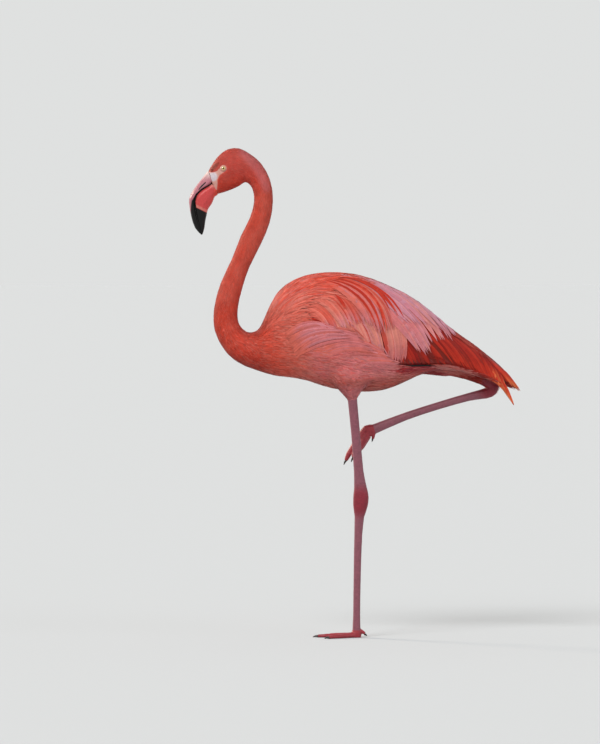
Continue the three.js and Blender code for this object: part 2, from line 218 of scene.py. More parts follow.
# ---- nodes of materials
def node_adder(tree):
    """A function that adds a node: its links are (output, input) and its inputs' values go by name."""

    def add(kind, links=(), **settings):
        node = tree.nodes.new("ShaderNode" + kind)
        for key, value in settings.items():
            if key in node.inputs.keys():
                node.inputs[key].default_value = value
            else:
                setattr(node, key, value)
        for source, socket in links:
            tree.links.new(source, node.inputs[socket])
        return node

    return add


class Look:
    """A new material, with short ways to add the nodes that several materials share."""

    def __init__(self, name, **values):
        self.material = bpy.data.materials.new(name)
        self.material.use_nodes = True
        self.tree = self.material.node_tree
        self.add = node_adder(self.tree)
        self.shader = self.tree.nodes["Principled BSDF"].inputs
        for key, value in values.items():
            self.shader[key.replace("_", " ")].default_value = value

    def place(self):
        return self.add("TexCoord").outputs["Object"]

    def own_colour(self):
        return self.add("VertexColor", layer_name="Plumage").outputs["Color"]

    def noise(self, place, scale, detail):
        return self.add("TexNoise", [(place, "Vector")], Scale=scale, Detail=detail).outputs["Fac"]

    def between(self, value, low, high, start=0.3, end=0.7):
        """The value stretched so that start to end becomes low to high."""
        limits = {"From Min": start, "From Max": end, "To Min": low, "To Max": high}
        return self.add("MapRange", [(value, "Value")], **limits).outputs[0]

    def math(self, operation, *values):
        """The outcome of one operation on outputs or plain numbers."""
        node = self.add("Math", operation=operation)
        for value, socket in zip(values, node.inputs):
            if isinstance(value, (int, float)):
                socket.default_value = value
            else:
                self.tree.links.new(value, socket)
        return node.outputs[0]

    def ramp(self, value, stops):
        """Colours as they look, 0 to 255, at shares of the value."""
        node = self.add("ValToRGB", [(value, "Fac")])
        elements = node.color_ramp.elements
        for n, (share, tone) in enumerate(stops):
            stop = elements[n] if n < 2 else elements.new(share)
            stop.position = share
            stop.color = (*srgb(*tone), 1)
        return node.outputs[0]

    def paint(self, colour, share):
        """Makes the base colour this colour times a share."""
        shaded = self.add("VectorMath", [(colour, 0)], operation="SCALE")
        self.tree.links.new(share, shaded.inputs["Scale"])
        self.tree.links.new(shaded.outputs[0], self.shader["Base Color"])

    def emboss(self, height, strength, distance):
        bump = self.add("Bump", [(height, "Height")], Strength=strength, Distance=distance)
        self.tree.links.new(bump.outputs[0], self.shader["Normal"])


# ---- camera, stage and light
CAMERA_PLACE = Vector((-0.1186, -12, 0.89))
CAMERA_AIM = Vector((-0.1186, 0, 0.5586))
LENS = 276.5  # mm, as is the sensor
SENSOR = 36
FAR = 200
SKY_STRENGTH = 0.62
PAPER = (0.74, 0.75, 0.745)  # the tone of the backdrop, which matches the lit floor
FLOOR_TONE = (0.513, 0.536, 0.560)
FLOOR_REACH = 60
# Name, where the light comes from, strength, colour and spread in degrees.
LAMPS = (
    ("key", (-0.45, -0.75, 0.8), 1.9, (1, 0.985, 0.96), 25),
    ("rim", (-0.85, 0.6, 0.4), 2.6, (1, 0.88, 0.7), 14),
    ("fill", (0.8, -0.5, 0.5), 0.6, (0.95, 0.98, 1), 40),
)


def facing(direction):
    return direction.to_track_quat("-Z", "Y").to_euler()


def add_camera():
    data = bpy.data.cameras.new("camera")
    data.lens = LENS
    data.sensor_width = SENSOR
    data.clip_end = FAR
    camera = put("camera", data)
    camera.location = CAMERA_PLACE
    camera.rotation_euler = facing(CAMERA_AIM - CAMERA_PLACE)
    bpy.context.scene.camera = camera


def add_lamps():
    for name, source, strength, colour, spread in LAMPS:
        data = bpy.data.lights.new(name, "SUN")
        data.energy = strength
        data.color = colour
        data.angle = math.radians(spread)
        put(name, data).rotation_euler = facing(-Vector(source))


def add_sky():
    """White light from all round, which the camera, mirrors and glass see as plain paper."""
    bpy.context.scene.view_settings.view_transform = "Standard"
    world = bpy.data.worlds.new("studio")
    world.use_nodes = True
    tree = world.node_tree
    add = node_adder(tree)
    white = tree.nodes["Background"]
    white.inputs["Color"].default_value = (1, 1, 1, 1)
    white.inputs["Strength"].default_value = SKY_STRENGTH
    rays = add("LightPath").outputs
    paper = add("Background", Color=(*PAPER, 1))
    seen = add("Math", [(rays["Is Camera Ray"], 0), (rays["Is Glossy Ray"], 1)], operation="MAXIMUM")
    either = add("Math", [(seen.outputs[0], 0), (rays["Is Transmission Ray"], 1)], operation="MAXIMUM")
    choice = add("MixShader", [(either.outputs[0], 0), (white.outputs[0], 1), (paper.outputs[0], 2)])
    tree.links.new(choice.outputs[0], tree.nodes["World Output"].inputs["Surface"])
    bpy.context.scene.world = world


def add_floor():
    far = FLOOR_REACH
    corners = np.array([(-far, -far, 0), (far, -far, 0), (far, far, 0), (-far, far, 0)], float)
    floor = put("floor", from_rows("floor", corners, [np.array([[0, 1, 2, 3]])]))
    look = Look("paper", Base_Color=(*FLOOR_TONE, 1), Roughness=0.9, Specular_IOR_Level=0.1)
    floor.data.materials.append(look.material)


add_camera()
add_sky()
add_floor()
add_lamps()


# ---- nodes and marks
FLESH = [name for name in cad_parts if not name.startswith(("bill", "eye", "claw"))]
BARE = [name for name in FLESH if name.startswith(("tibia", "ankle", "tarsus", "foot", "hallux"))]
LEFT_LEG = [name for name in BARE if "left" in name]
RIGHT_LEG = [name for name in BARE if "right" in name]
THIGHS = ["thigh_left", "thigh_right"]
FEATHERED_TO = 0.272  # x up to which the raised leg is feathered
EYE_LOW, EYE_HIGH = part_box("eye_right")
EYE_X, EYE_Y, EYE_Z = [(a + b) / 2 for a, b in zip(EYE_LOW, EYE_HIGH)]
EYE_RADIUS = (EYE_HIGH.x - EYE_LOW.x) / 2
LID_OPENING = 4.3 * MM
LORE_SPOT = (-0.3015, 0.9685)  # the middle of the pale lores, x and z
FACE_BACK = -0.26  # x behind which the head is all feathered

# Marks of the head in the side view: x, z and half-width along each.
LORES = [(-0.308, 0.972, 0.006), (-0.300, 0.968, 0.0098), (-0.2905, 0.976, 0.0052), (EYE_X, EYE_Z, 0.0062)]
CHEEK_STRIP = [(-0.3005, 0.968, 0.0085), (-0.2980, 0.954, 0.0062), (-0.2980, 0.930, 0.0036)]
BROW = [(-0.3045, 0.9815, 0.0015), (-0.2985, 0.9890, 0.0024), (-0.2905, 0.9960, 0.0005)]
BILL_BASE = [(-0.3116, 0.9810, 0), (-0.3008, 0.9570, 0), (-0.2956, 0.9316, 0)]
NAPE = [(-0.240, 1.021, 0.003), (-0.206, 0.990, 0.004), (-0.190, 0.950, 0.002)]
MOUTH = [
    (-0.2945, 0.9580, 0.0002), (-0.3095, 0.9513, 0.0003), (-0.3240, 0.9430, 0.0007),
    (-0.3354, 0.9320, 0.0013), (-0.3402, 0.9173, 0.0020), (-0.3360, 0.8850, 0.0020),
    (-0.3305, 0.8660, 0.0010), (-0.3250, 0.8480, 0),
]
NOSTRIL = [(-0.3170, 0.9560, 0.0006), (-0.3240, 0.9495, 0.0010), (-0.3305, 0.9420, 0.0006)]

# Marks of the body, in the same way.
# Where the flank under the wing's lower edge is painted dark wine red: the deep red of the feathers there,
# darkened as painted shade beneath the wing.
FLANK_WINE = [(0.066, 0.562, 0.007), (0.100, 0.560, 0.012), (0.150, 0.558, 0.011), (0.175, 0.559, 0.004)]
PALE_STRIP = [(0.140, 0.567, 0.003), (0.175, 0.565, 0.008), (0.212, 0.560, 0.006), (0.235, 0.552, 0.002)]
WING_EDGE = [(0.098, 0.580, 0.0055), (0.150, 0.580, 0.0068), (0.205, 0.577, 0.0030)]
RED_GAP = [(-0.092, 0.677, 0.001), (-0.074, 0.663, 0.005), (-0.060, 0.654, 0.002)]


def outside(points, line):
    """How far places lie outside a tapered line drawn in the side view; below 0 is on the line."""
    line = np.array(line)
    x, z, half = line.T
    step = np.diff(line, axis=0)
    rel_x, rel_z = points[:, None, 0] - x[:-1], points[:, None, 2] - z[:-1]
    share = np.clip((rel_x * step[:, 0] + rel_z * step[:, 1]) / (step[:, 0] ** 2 + step[:, 1] ** 2), 0, 1)
    away = np.hypot(rel_x - share * step[:, 0], rel_z - share * step[:, 1])
    return (away - half[:-1] - share * step[:, 2]).min(1)


def belongs(label, names):
    """Which labels stand for one of these nodes."""
    return np.isin(label, [FLESH.index(name) for name in names])


def bare_face(points):
    """How far places lie outside the bare skin of the face."""
    return np.minimum(outside(points, LORES), outside(points, CHEEK_STRIP))


def bare_leg(points, label):
    """Which places are on the bare part of a leg."""
    feathered = belongs(label, ["tibia_right"]) & (points[:, 0] < FEATHERED_TO)
    return belongs(label, BARE) & ~feathered


# ---- form under the coat
OUTLINE_VOXEL = 1.3 * MM
OUTLINE_ROUNDS = 120  # of smoothing
OUTLINE_KEPT = 0.24  # share of the triangles that stay
FLAT = 1e-20  # m4, less than any real triangle gives

solids, solid_owner = joined_nodes(FLESH, 0.25 * MM)


def named_points(points):
    """For each point, the number in FLESH of the node whose solid is nearest."""
    tree = BVHTree.FromPolygons(points_of(solids).tolist(), [list(p.vertices) for p in solids.polygons])
    return solid_owner[[tree.find_nearest(p)[2] for p in points.tolist()]]


def outline_mesh():
    """The outer form of the whole coat: the solids run together and their facets smoothed away.

    Less is smoothed on bare legs, face, neck and tail, and more triangles stay on legs and face.
    """
    whole = applied(solids.copy(), voxels(OUTLINE_VOXEL))
    points = points_of(whole)
    bare = belongs(named_points(points), BARE)
    x, z = points[:, 0], points[:, 2]
    face = smooth(0.045, 0.028, side_distance(points, EYE_X, EYE_Z))
    slim = np.where(x < -0.17, np.where(z > 0.72, 0.35, 0.7), mix(1.0, 0.4, smooth(0.08, 0.14, x)))
    return applied(
        whole,
        smoothing(OUTLINE_ROUNDS, vertex_group="soft"),
        ("DECIMATE", dict(ratio=OUTLINE_KEPT, vertex_group="fine", vertex_group_factor=1.0)),
        soft=np.where(bare, 0.06, slim) * (1 - 0.6 * face),
        fine=np.where(bare, 0.25, 1.0) * (1 - 0.75 * face),
    )


class Surface:
    """A closed triangle mesh that feathers can be laid on."""

    def __init__(self, mesh):
        self.points, self.triangles, self.normals = points_of(mesh), triangles_of(mesh), normals_of(mesh)
        self.tree = BVHTree.FromPolygons(self.points.tolist(), self.triangles.tolist())
        self.label = named_points(self.points)
        self.owner = self.label[self.triangles[:, 0]]
        self.middle = self.points[self.triangles].mean(1)

    def nearest(self, places):
        """For each place: the nearest point of the surface and the triangle it lies on."""
        hits = [self.tree.find_nearest(p) for p in places.tolist()]
        return np.array([h[0] for h in hits]), np.array([h[2] for h in hits])

    def normals_at(self, places, faces):
        """The normals at places on these triangles, shaded smoothly from corner to corner."""
        a, b, c = (self.points[self.triangles[faces, k]] for k in range(3))
        v0, v1, v2 = b - a, c - a, places - a
        d00, d01, d11 = (v0 * v0).sum(1), (v0 * v1).sum(1), (v1 * v1).sum(1)
        d20, d21 = (v2 * v0).sum(1), (v2 * v1).sum(1)
        whole = np.maximum(d00 * d11 - d01 * d01, FLAT)
        v = np.clip((d11 * d20 - d01 * d21) / whole, 0, 1)
        w = np.clip((d00 * d21 - d01 * d20) / whole, 0, 1 - v)
        share = np.stack([1 - v - w, v, w], 1)
        return unit((self.normals[self.triangles[faces]] * share[:, :, None]).sum(1))


# ---- lie of the feathers
# (x, z, angle): in the side view, how many degrees below level the feathers there run, towards the tail.
LIE = [
    (-0.298, 1.000, -40), (-0.275, 1.026, -15), (-0.245, 1.030, 20), (-0.222, 1.012, 55),
    (-0.300, 0.975, -25), (-0.270, 0.975, 5), (-0.245, 0.985, 25), (-0.290, 0.945, -10),
    (-0.262, 0.945, 10), (-0.235, 0.955, 50), (-0.215, 0.975, 70), (-0.190, 0.975, 78),
    (-0.195, 0.920, 92), (-0.203, 0.877, 103), (-0.221, 0.836, 110), (-0.243, 0.787, 112),
    (-0.263, 0.738, 102), (-0.274, 0.690, 90), (-0.285, 0.650, 75), (-0.245, 0.660, 78),
    (-0.276, 0.636, 62), (-0.245, 0.625, 45), (-0.234, 0.588, 25), (-0.182, 0.573, 6),
    (-0.205, 0.655, -20), (-0.182, 0.689, -55), (-0.150, 0.730, -42), (-0.119, 0.745, -25),
    (-0.056, 0.765, -4), (0.007, 0.760, 10), (0.091, 0.727, 25), (0.175, 0.668, 38),
    (0.259, 0.605, 38), (0.322, 0.546, 50), (-0.077, 0.710, 15), (-0.024, 0.689, 45),
    (-0.050, 0.704, 28), (-0.012, 0.735, 22), (0.012, 0.702, 46),
    (0.018, 0.647, 60), (0.060, 0.615, 60), (0.091, 0.640, 55), (0.133, 0.626, 48),
    (0.196, 0.594, 42), (-0.160, 0.640, 8), (-0.119, 0.615, 0), (-0.056, 0.615, 6),
    (-0.014, 0.615, 20), (0.049, 0.580, 22), (-0.056, 0.563, 8), (0.007, 0.535, 0),
    (-0.119, 0.552, 14), (0.070, 0.538, -10), (0.130, 0.560, -8), (0.220, 0.560, 5),
    (0.095, 0.574, 0), (0.140, 0.573, 2), (0.185, 0.571, 4),
]
LIE_NEAR = 0.006  # keeps the nearest guide from ruling alone
LIE_FADE = 3.5  # how fast a guide loses its pull with distance
DARTS = 4.0  # tries for each place that may be filled
HOLD = 0.6  # share of a step by which a spine may miss the surface before it hangs free


def lie_at(points, normals):
    """The direction in which feathers lie, along the surface."""
    guides = np.array(LIE)
    away = np.hypot(points[:, None, 0] - guides[:, 0], points[:, None, 2] - guides[:, 1])
    weight = 1 / (away + LIE_NEAR) ** LIE_FADE
    turn = np.radians(guides[:, 2])
    down = -(weight * np.sin(turn)).sum(1)
    along = unit(np.stack([(weight * np.cos(turn)).sum(1), np.zeros(len(points)), down], 1))
    return unit(along - dot(along, normals) * normals)


def swung(heading, normals, turn):
    """Headings turned about the normals, in radians."""
    return heading * np.cos(turn)[:, None] + np.cross(normals, heading) * np.sin(turn)[:, None]


def eased(rows):
    """Four times the inner values of each row, each drawn towards its neighbours."""
    return rows[:, :-2] + 2 * rows[:, 1:-1] + rows[:, 2:]


def spread_roots(surface, wanted, spacing):
    """Root places about spacing apart, on the triangles where wanted, in a random order."""
    corners = surface.points[surface.triangles[wanted]]
    gap = spacing[wanted]
    first, second = corners[:, 1] - corners[:, 0], corners[:, 2] - corners[:, 0]
    area = 0.5 * np.linalg.norm(np.cross(first, second), axis=1)
    expected = DARTS * area / gap**2
    count = int(expected.sum())
    pick = rng.choice(len(corners), count, p=expected / expected.sum())
    u, v = rng.random(count), rng.random(count)
    over = u + v > 1
    u[over], v[over] = 1 - u[over], 1 - v[over]
    places = corners[pick, 0] + u[:, None] * first[pick]
    places += v[:, None] * second[pick]
    reach = gap[pick]
    keys = np.floor(places / float(reach.max())).astype(int).tolist()
    around = [(i, j, k) for i in (-1, 0, 1) for j in (-1, 0, 1) for k in (-1, 0, 1)]
    taken, kept = {}, []
    for n, (key, p) in enumerate(zip(keys, places.tolist())):
        near = reach[n] ** 2
        cells = ((key[0] + i, key[1] + j, key[2] + k) for i, j, k in around)
        others = (q for cell in cells for q in taken.get(cell, ()))
        if all((p[0] - q[0]) ** 2 + (p[1] - q[1]) ** 2 + (p[2] - q[2]) ** 2 >= near for q in others):
            taken.setdefault(tuple(key), []).append(p)
            kept.append(n)
    return places[kept], np.nonzero(wanted)[0][pick[kept]]


def follow(surface, roots, length, stations, turn):
    """Spines that run from their roots along the surface with the lie of the coat, swung by their turns.

    stations are shares of the length.
    """
    place, face = surface.nearest(roots)
    normal = surface.normals_at(place, face)
    heading = swung(lie_at(place, normal), normal, turn)
    spine, normals = [place], [normal]
    for before, after in zip(stations[:-1], stations[1:]):
        step = (length * (after - before))[:, None]
        ahead = spine[-1] + heading * step
        place, face = surface.nearest(ahead)
        loose = np.linalg.norm(place - ahead, axis=1, keepdims=True) > HOLD * step
        place = np.where(loose, ahead, place)
        fresh = surface.normals_at(np.where(loose, spine[-1], place), face)
        normal = np.where(loose, normals[-1], fresh)
        lie = swung(lie_at(place, normal), normal, turn)
        heading = unit(heading * 0.5 + lie * 0.5)
        heading = unit(heading - dot(heading, normal) * normal)
        spine.append(place)
        normals.append(normal)
    normals = np.stack(normals, 1)
    normals[:, 1:-1] = unit(eased(normals))
    return np.stack(spine, 1), normals


# ---- vanes
PATCH = 0.003  # of the bake map, for one vane
BEND_LIMIT = 0.6  # of the half-width, by which a wide vane's edge may be drawn to the body
LEAST_OPEN = 0.3  # share by which a vane must face as the body does; one folded up more is left out


class Coat:
    """One piece of the coat, gathered from many small closed vanes.

    The upper sides are shaded along the body's own curve, so that the vanes melt into each other.
    """

    def __init__(self, name, slot):
        self.name, self.slot = name, slot
        self.points, self.colours, self.bake, self.weave = [], [], [], []
        self.faces = {3: [], 4: []}
        self.normals = {3: [], 4: []}
        self.count = 0

    def add(self, faces, points, normals, colours, bake, weave):
        """points are (vanes, corners, 3); faces are the pairs of vane_faces, which every vane shares.

        normals face out of the upper side; corners of faces that lie underneath get the reverse.
        """
        vanes, corners = points.shape[:2]
        first = self.count + np.arange(vanes)[:, None, None] * corners
        for face, below in faces:
            sides = face.shape[1]
            self.faces[sides].append((face[None] + first).reshape(-1, sides))
            facing = normals[:, face]
            facing[:, below] = -facing[:, below].mean(2, keepdims=True)
            self.normals[sides].append(facing.reshape(-1, 3))
        self.points.append(points.reshape(-1, 3))
        self.colours.append(colours.reshape(-1, 3))
        self.bake.append(bake.reshape(-1, 2))
        self.weave.append(weave.reshape(-1, 2))
        self.count += vanes * corners

    def finish(self, material):
        faces = [np.concatenate(f) for f in self.faces.values() if f]
        corners = np.concatenate([f.ravel() for f in faces])
        mesh = from_rows(self.name, np.concatenate(self.points), faces)
        mesh.normals_split_custom_set(np.concatenate(self.normals[3] + self.normals[4]))
        colour_points(mesh, np.concatenate(self.colours))
        add_map(mesh, "OFBake", np.concatenate(self.bake)[corners])
        add_map(mesh, "Weave", np.concatenate(self.weave)[corners])
        show(self.name, mesh, material)
        print(f"{self.name}: {sum(len(f) * (f.shape[1] - 2) for f in faces)} triangles")


def vane_faces(rings, sides):
    """Faces of a closed vane: a point, rings of corners, and a point; and which of them are underneath."""
    tip = 1 + rings * sides
    ring = np.arange(sides)
    after = (ring + 1) % sides
    root = np.stack([np.zeros(sides, int), 1 + ring, 1 + after], 1)
    last = 1 + (rings - 1) * sides
    end = np.stack([np.full(sides, tip), last + after, last + ring], 1)
    below = ring >= sides - 2
    faces = [(np.concatenate([root, end]), np.tile(below, 2))]
    walls = []
    for r in range(rings - 1):
        a, b = 1 + r * sides, 1 + (r + 1) * sides
        walls.append(np.stack([a + ring, b + ring, b + after, a + after], 1))
    if walls:
        faces.append((np.concatenate(walls), np.tile(below, rings - 1)))
    return faces


def hugging(edge, surface, half_width):
    """Draws vanes' edges in to the surface, by no more than a share of the half-width."""
    inner = edge[:, 1:-1].reshape(-1, 3)
    shift = surface.nearest(inner)[0] - inner
    reach = np.linalg.norm(shift, axis=1, keepdims=True)
    shift = shift * np.minimum(1, BEND_LIMIT * half_width[:, 1:-1].reshape(-1, 1) / np.maximum(reach, TINY))
    edge[:, 1:-1] = (inner + shift).reshape(len(edge), -1, 3)


def add_vanes(coat, surface, spine, normals, stations, left_width, right_width, height, root_map, colour,
              crown=0.12, thick=0.25 * MM, columns=(-1, 0, 1), hug=False, softness=0.45, tilt=0.0):
    """Adds vanes over their spines.

    left_width, right_width and height are (vanes, stations); the first and last stations are the two end
    points. columns are the rows of corners across the upper side, from -1 to 1. colour is a function of
    the columns that gives (vanes, stations, columns, 3).
    hug bends wide vanes round the body. softness is how far the edges are shaded as if they turned away.
    tilt is how far the right edge stands up and the left edge down, as a share of the half-width.
    """
    half_width = (left_width + right_width) / 2
    vanes, count = half_width.shape
    across = unit(np.cross(normals, np.gradient(spine, axis=1)))
    left, right = spine - across * left_width[..., None], spine + across * right_width[..., None]
    if hug:
        hugging(left, surface, half_width)
        hugging(right, surface, half_width)
    columns = np.array(columns, float)
    s = columns[None, None, :, None]
    half, bend = (right - left)[:, :, None] / 2, (right + left) / 2 - spine
    sunk = normals * np.maximum(dot(bend, normals), 0)
    middle_line, bend = (spine + sunk)[:, :, None], (bend - sunk)[:, :, None]
    rise = height[..., None] + half_width[..., None] * (crown * (1 - columns**2) + tilt * columns)
    top = middle_line + half * s + bend * s * s + normals[:, :, None] * rise[..., None]
    middle = len(columns) // 2
    under = top[:, :, middle] - normals * thick
    ring = np.concatenate([top, under[:, :, None]], 2)

    def rows(grid):
        """The grid's values in the order of a vane's corners: a point, rings, and a point."""
        inner = grid[:, 1:-1].reshape(vanes, -1, grid.shape[-1])
        return np.concatenate([grid[:, :1, middle], inner, grid[:, -1:, middle]], 1)

    points = rows(ring)
    facing = normals[:, :, None] + across[:, :, None] * (s * softness)
    facing = unit(np.concatenate([facing, normals[:, :, None]], 2))
    shades = colour(columns)
    shades = np.concatenate([shades, shades[:, :, middle : middle + 1]], 2)

    t = np.broadcast_to(np.asarray(stations)[None, :], (vanes, count))
    u = np.concatenate([columns, [0]])
    flat = rows(np.stack(np.broadcast_arrays(u[None, None], t[..., None]), -1))
    bake = root_map[:, None] + (flat * [0.5, 1] - [0, 0.5]) * PATCH
    length = np.linalg.norm(np.diff(spine, axis=1), axis=2).sum(1)
    size = np.stack([half_width.max(1), length], 1)
    weave = flat * size[:, None] + rng.random((vanes, 1, 2))

    along = np.diff(top[:, :, middle], axis=1)
    plane = np.cross(along, (top[:, :, -1] - top[:, :, 0])[:, 1:] + TINY * across[:, 1:])
    is_open = (plane * normals[:, 1:]).sum(-1) > LEAST_OPEN * np.linalg.norm(plane, axis=-1)
    kept = [grid[is_open.all(1)] for grid in (points, rows(facing), rows(shades), bake, weave)]
    coat.add(vane_faces(count - 2, ring.shape[2]), *kept)


# ---- an unwrap of the skin, tube by tube
# Mid-lines of the bird's tubes: from the face down the neck and along the back to the tail, and down
# each leg.
BODY_LINE = [
    (-0.305, 0, 0.957), (-0.270, 0, 0.982), (-0.236, 0, 0.988), (-0.208, 0, 0.968), (-0.195, 0, 0.920),
    (-0.203, 0, 0.877), (-0.221, 0, 0.836), (-0.243, 0, 0.787), (-0.263, 0, 0.738), (-0.274, 0, 0.690),
    (-0.268, 0, 0.652), (-0.238, 0, 0.618), (-0.180, 0, 0.620), (-0.100, 0, 0.645), (0.000, 0, 0.645),
    (0.100, 0, 0.628), (0.200, 0, 0.598), (0.290, 0, 0.566), (0.350, 0, 0.515),
]
NECK_LINE = BODY_LINE[1:12]
LEFT_LINE = [
    (-0.010, -0.041, 0.510), (0.004, -0.023, 0.352), (0.009, -0.015, 0.288), (0.001, -0.005, 0.120),
    (0, 0, 0),
]
RIGHT_LINE = [
    (0.190, 0.041, 0.563), (0.270, 0.033, 0.540), (0.288, 0.031, 0.526), (0.262, 0.030, 0.511),
    (0.104, 0.024, 0.464), (0.030, 0.022, 0.434), (-0.030, 0.021, 0.370),
]
LEFT_JOINT, RIGHT_JOINT = LEFT_LINE[2], RIGHT_LINE[2]
LEFT_TOES, RIGHT_TOES = LEFT_LINE[-1], RIGHT_LINE[-2]


def along_line(points, line):
    """How far along a mid-line each point lies, and the angle round it."""
    line = np.array(line, float)
    step = np.diff(line, axis=0)
    length = np.linalg.norm(step, axis=1)
    before = np.concatenate([[0], np.cumsum(length)[:-1]])
    rel = points[:, None] - line[None, :-1]
    share = np.clip((rel * step).sum(2) / length**2, 0, 1)
    foot = line[None, :-1] + share[..., None] * step
    best = np.linalg.norm(points[:, None] - foot, axis=2).argmin(1)
    rows = np.arange(len(points))
    out = points - foot[rows, best]
    up = unit(np.cross(step[best] / length[best, None], (0, 1, 0)))
    angle = np.arctan2(out[:, 1], -(out * up).sum(1))
    return before[best] + share[rows, best] * length[best], angle


# The strips of the unwrap: mid-line, nodes, and the strip's middle height and half-height on the map.
STRIPS = (
    (BODY_LINE, [name for name in FLESH if name not in BARE], 0.66, 0.31),
    (LEFT_LINE, LEFT_LEG, 0.25, 0.07),
    (RIGHT_LINE, RIGHT_LEG, 0.09, 0.07),
)
MARGIN = 0.01  # of the map, at both ends of a strip


def skin_map(points, label):
    """Where each point lies on the unwrapped skin."""
    where = np.zeros((len(points), 2))
    for line, nodes, middle, half in STRIPS:
        own = belongs(label, nodes)
        if own.any():
            far, angle = along_line(points[own], line)
            whole = np.linalg.norm(np.diff(np.array(line, float), axis=0), axis=1).sum()
            share = MARGIN + (1 - 2 * MARGIN) * far / whole
            where[own] = np.stack([share, middle + half * angle / np.pi], 1)
    return where


# ---- colours of the plumage
CORAL = srgb(197, 70, 52)
NECK = srgb(200, 80, 64)
FLAME = srgb(198, 54, 32)
CROWN = srgb(186, 66, 56)
BROWN = srgb(112, 34, 24)
SALMON = srgb(193, 92, 78)
ROSE = srgb(184, 98, 99)
SHELL = srgb(200, 120, 107)
MAUVE = srgb(187, 118, 126)
LILAC = srgb(186, 127, 146)
BLOOD = srgb(130, 18, 10)
EMBER = srgb(172, 40, 22)
STRIP = srgb(190, 114, 108)
TIP = srgb(226, 124, 74)
# Deep red of the flank feathers under the wing, darkened as painted shade beneath it.
SHADED_WINE = srgb(128, 20, 38)
# A darker salmon for the lower belly: painted shade under the body.
BELLY_SHADE = srgb(154, 68, 58)
SOCK = srgb(176, 100, 104)
SOOT = srgb(13, 11, 11)
SHANK = srgb(128, 72, 84)
JOINT = srgb(126, 28, 44)
FOOT = srgb(142, 40, 50)
LORE_GREY = srgb(192, 180, 186)
FACE_PINK = srgb(194, 142, 130)
LID = srgb(176, 128, 116)
BLUR = 0.005  # how far the marks' edges are scattered from feather to feather
# Directions of the waves that make a soft unevenness.
WAVES = ((1.0, 0.3, 0.5), (-0.4, 1.1, 0.7), (0.6, -0.8, 1.0), (0.9, 0.7, -1.2))


def ripple(points, size, phase=0.0):
    """A soft, even unevenness between -1 and 1 or a little more, with lumps about size across."""
    waves = [np.sin(points @ np.array(t) * np.pi / size + phase + 1.7 * i) for i, t in enumerate(WAVES)]
    return sum(waves) / 2.2


def plumage(points, label):
    """The colour of the small feathers at each place, and of the skin under them.

    Each tone is laid over those before it, between the x and z given with it.
    """
    jitter = rng.normal(0, BLUR, (len(points), 2))
    x, z = points[:, 0] + jitter[:, 0], points[:, 2] + jitter[:, 1]
    colour = np.broadcast_to(SALMON, (len(points), 3)).copy()

    def lay(tone, share):
        colour[:] = mix(colour, tone, np.clip(share, 0, 1)[:, None])

    # Breast, flank and back.
    lay(ROSE, 0.9 * smooth(-0.15, -0.09, x) * smooth(0.66, 0.61, z) * smooth(0.525, 0.57, z))
    lay(SHELL, 0.6 * smooth(-0.13, -0.07, x) * smooth(0.60, 0.66, z) * smooth(0.75, 0.71, z))
    lay(CORAL, smooth(0.70, 0.745, z) * smooth(0.05, -0.03, x))
    lay(LILAC, smooth(-0.02, 0.05, x) * smooth(0.60, 0.67, z) * smooth(0.20, 0.17, x))
    lay(MAUVE, 0.4 * smooth(-0.08, 0.0, x) * smooth(0.66, 0.62, z))
    # The lower belly is painted darker: painted shade under the body.
    lay(BELLY_SHADE, 0.8 * smooth(0.565, 0.530, z) * smooth(-0.20, -0.12, x))
    # Rump and tail, and the marks at the wing's lower edge.
    lay(BLOOD, smooth(0.165, 0.21, x))
    lay(EMBER, 0.6 * smooth(0.13, 0.18, x) * smooth(0.595, 0.63, z))
    lay(BLOOD, smooth(0.05, 0.08, x) * smooth(0.625, 0.60, z) * smooth(0.568, 0.578, z))
    # Dark wine red under the wing's lower edge: the feathers' deep red, darker by painted shade beneath the
    # wing.
    lay(SHADED_WINE, smooth(0.006, -0.002, outside(points, FLANK_WINE)))
    lay(STRIP, 0.9 * smooth(0.003, -0.002, outside(points, PALE_STRIP)))
    lay(BLOOD, 0.8 * smooth(0.002, -0.001, outside(points, RED_GAP)))
    lay(BLOOD, smooth(0.004, 0.0, outside(points, WING_EDGE)))
    # The fore end, and the thighs.
    lay(CORAL, smooth(-0.145, -0.20, x + 0.25 * (z - 0.62)))
    lay(BLOOD, 0.5 * smooth(-0.16, -0.24, x) * smooth(0.625, 0.58, z))
    lay(SOCK, belongs(label, THIGHS) * smooth(0.545, 0.515, z) * smooth(0.16, 0.12, x))

    neck = smooth(0.66, 0.74, z) * smooth(-0.15, -0.19, x)
    behind = points[:, 0] - curve_at(points, NECK_LINE)
    front = smooth(0.010, -0.014, behind) * neck
    lay(NECK, neck * smooth(0.96, 0.90, z) * smooth(0.66, 0.76, z))
    lay(FLAME, 0.55 * front * smooth(0.965, 0.94, z) * smooth(0.70, 0.80, z))
    lay(FLAME, 0.35 * smooth(0.012, 0.02, behind) * neck * smooth(0.80, 0.74, z))
    lay(EMBER, 0.4 * smooth(0.76, 0.68, z) * smooth(-0.19, -0.23, x))

    head = smooth(0.930, 0.955, points[:, 2]) * smooth(-0.19, -0.23, points[:, 0])
    lay(CROWN, head)
    lay(FLAME, 0.75 * head * smooth(0.985, 0.955, z))
    lay(MAUVE, 0.4 * smooth(0.014, 0.0, outside(points, NAPE)))
    lay(BROWN, 0.8 * smooth(0.0035, 0.0, outside(points, BROW)) * (np.abs(points[:, 1]) > 0.007))
    lay(SHELL, 0.10 * np.clip(ripple(points, 0.030), 0, 1))
    lay(BLOOD, 0.14 * np.clip(-ripple(points, 0.022, 1.0), 0, 1))
    return colour


def curve_at(points, line):
    """The x of a mid-line at the height of each point."""
    line = np.array(line)
    order = np.argsort(line[:, 2])
    return np.interp(points[:, 2], line[order, 2], line[order, 0])


# ---- materials
BARBS = 1300  # for each metre along the shaft
BARB_CHANGE = 140  # for each metre from the shaft


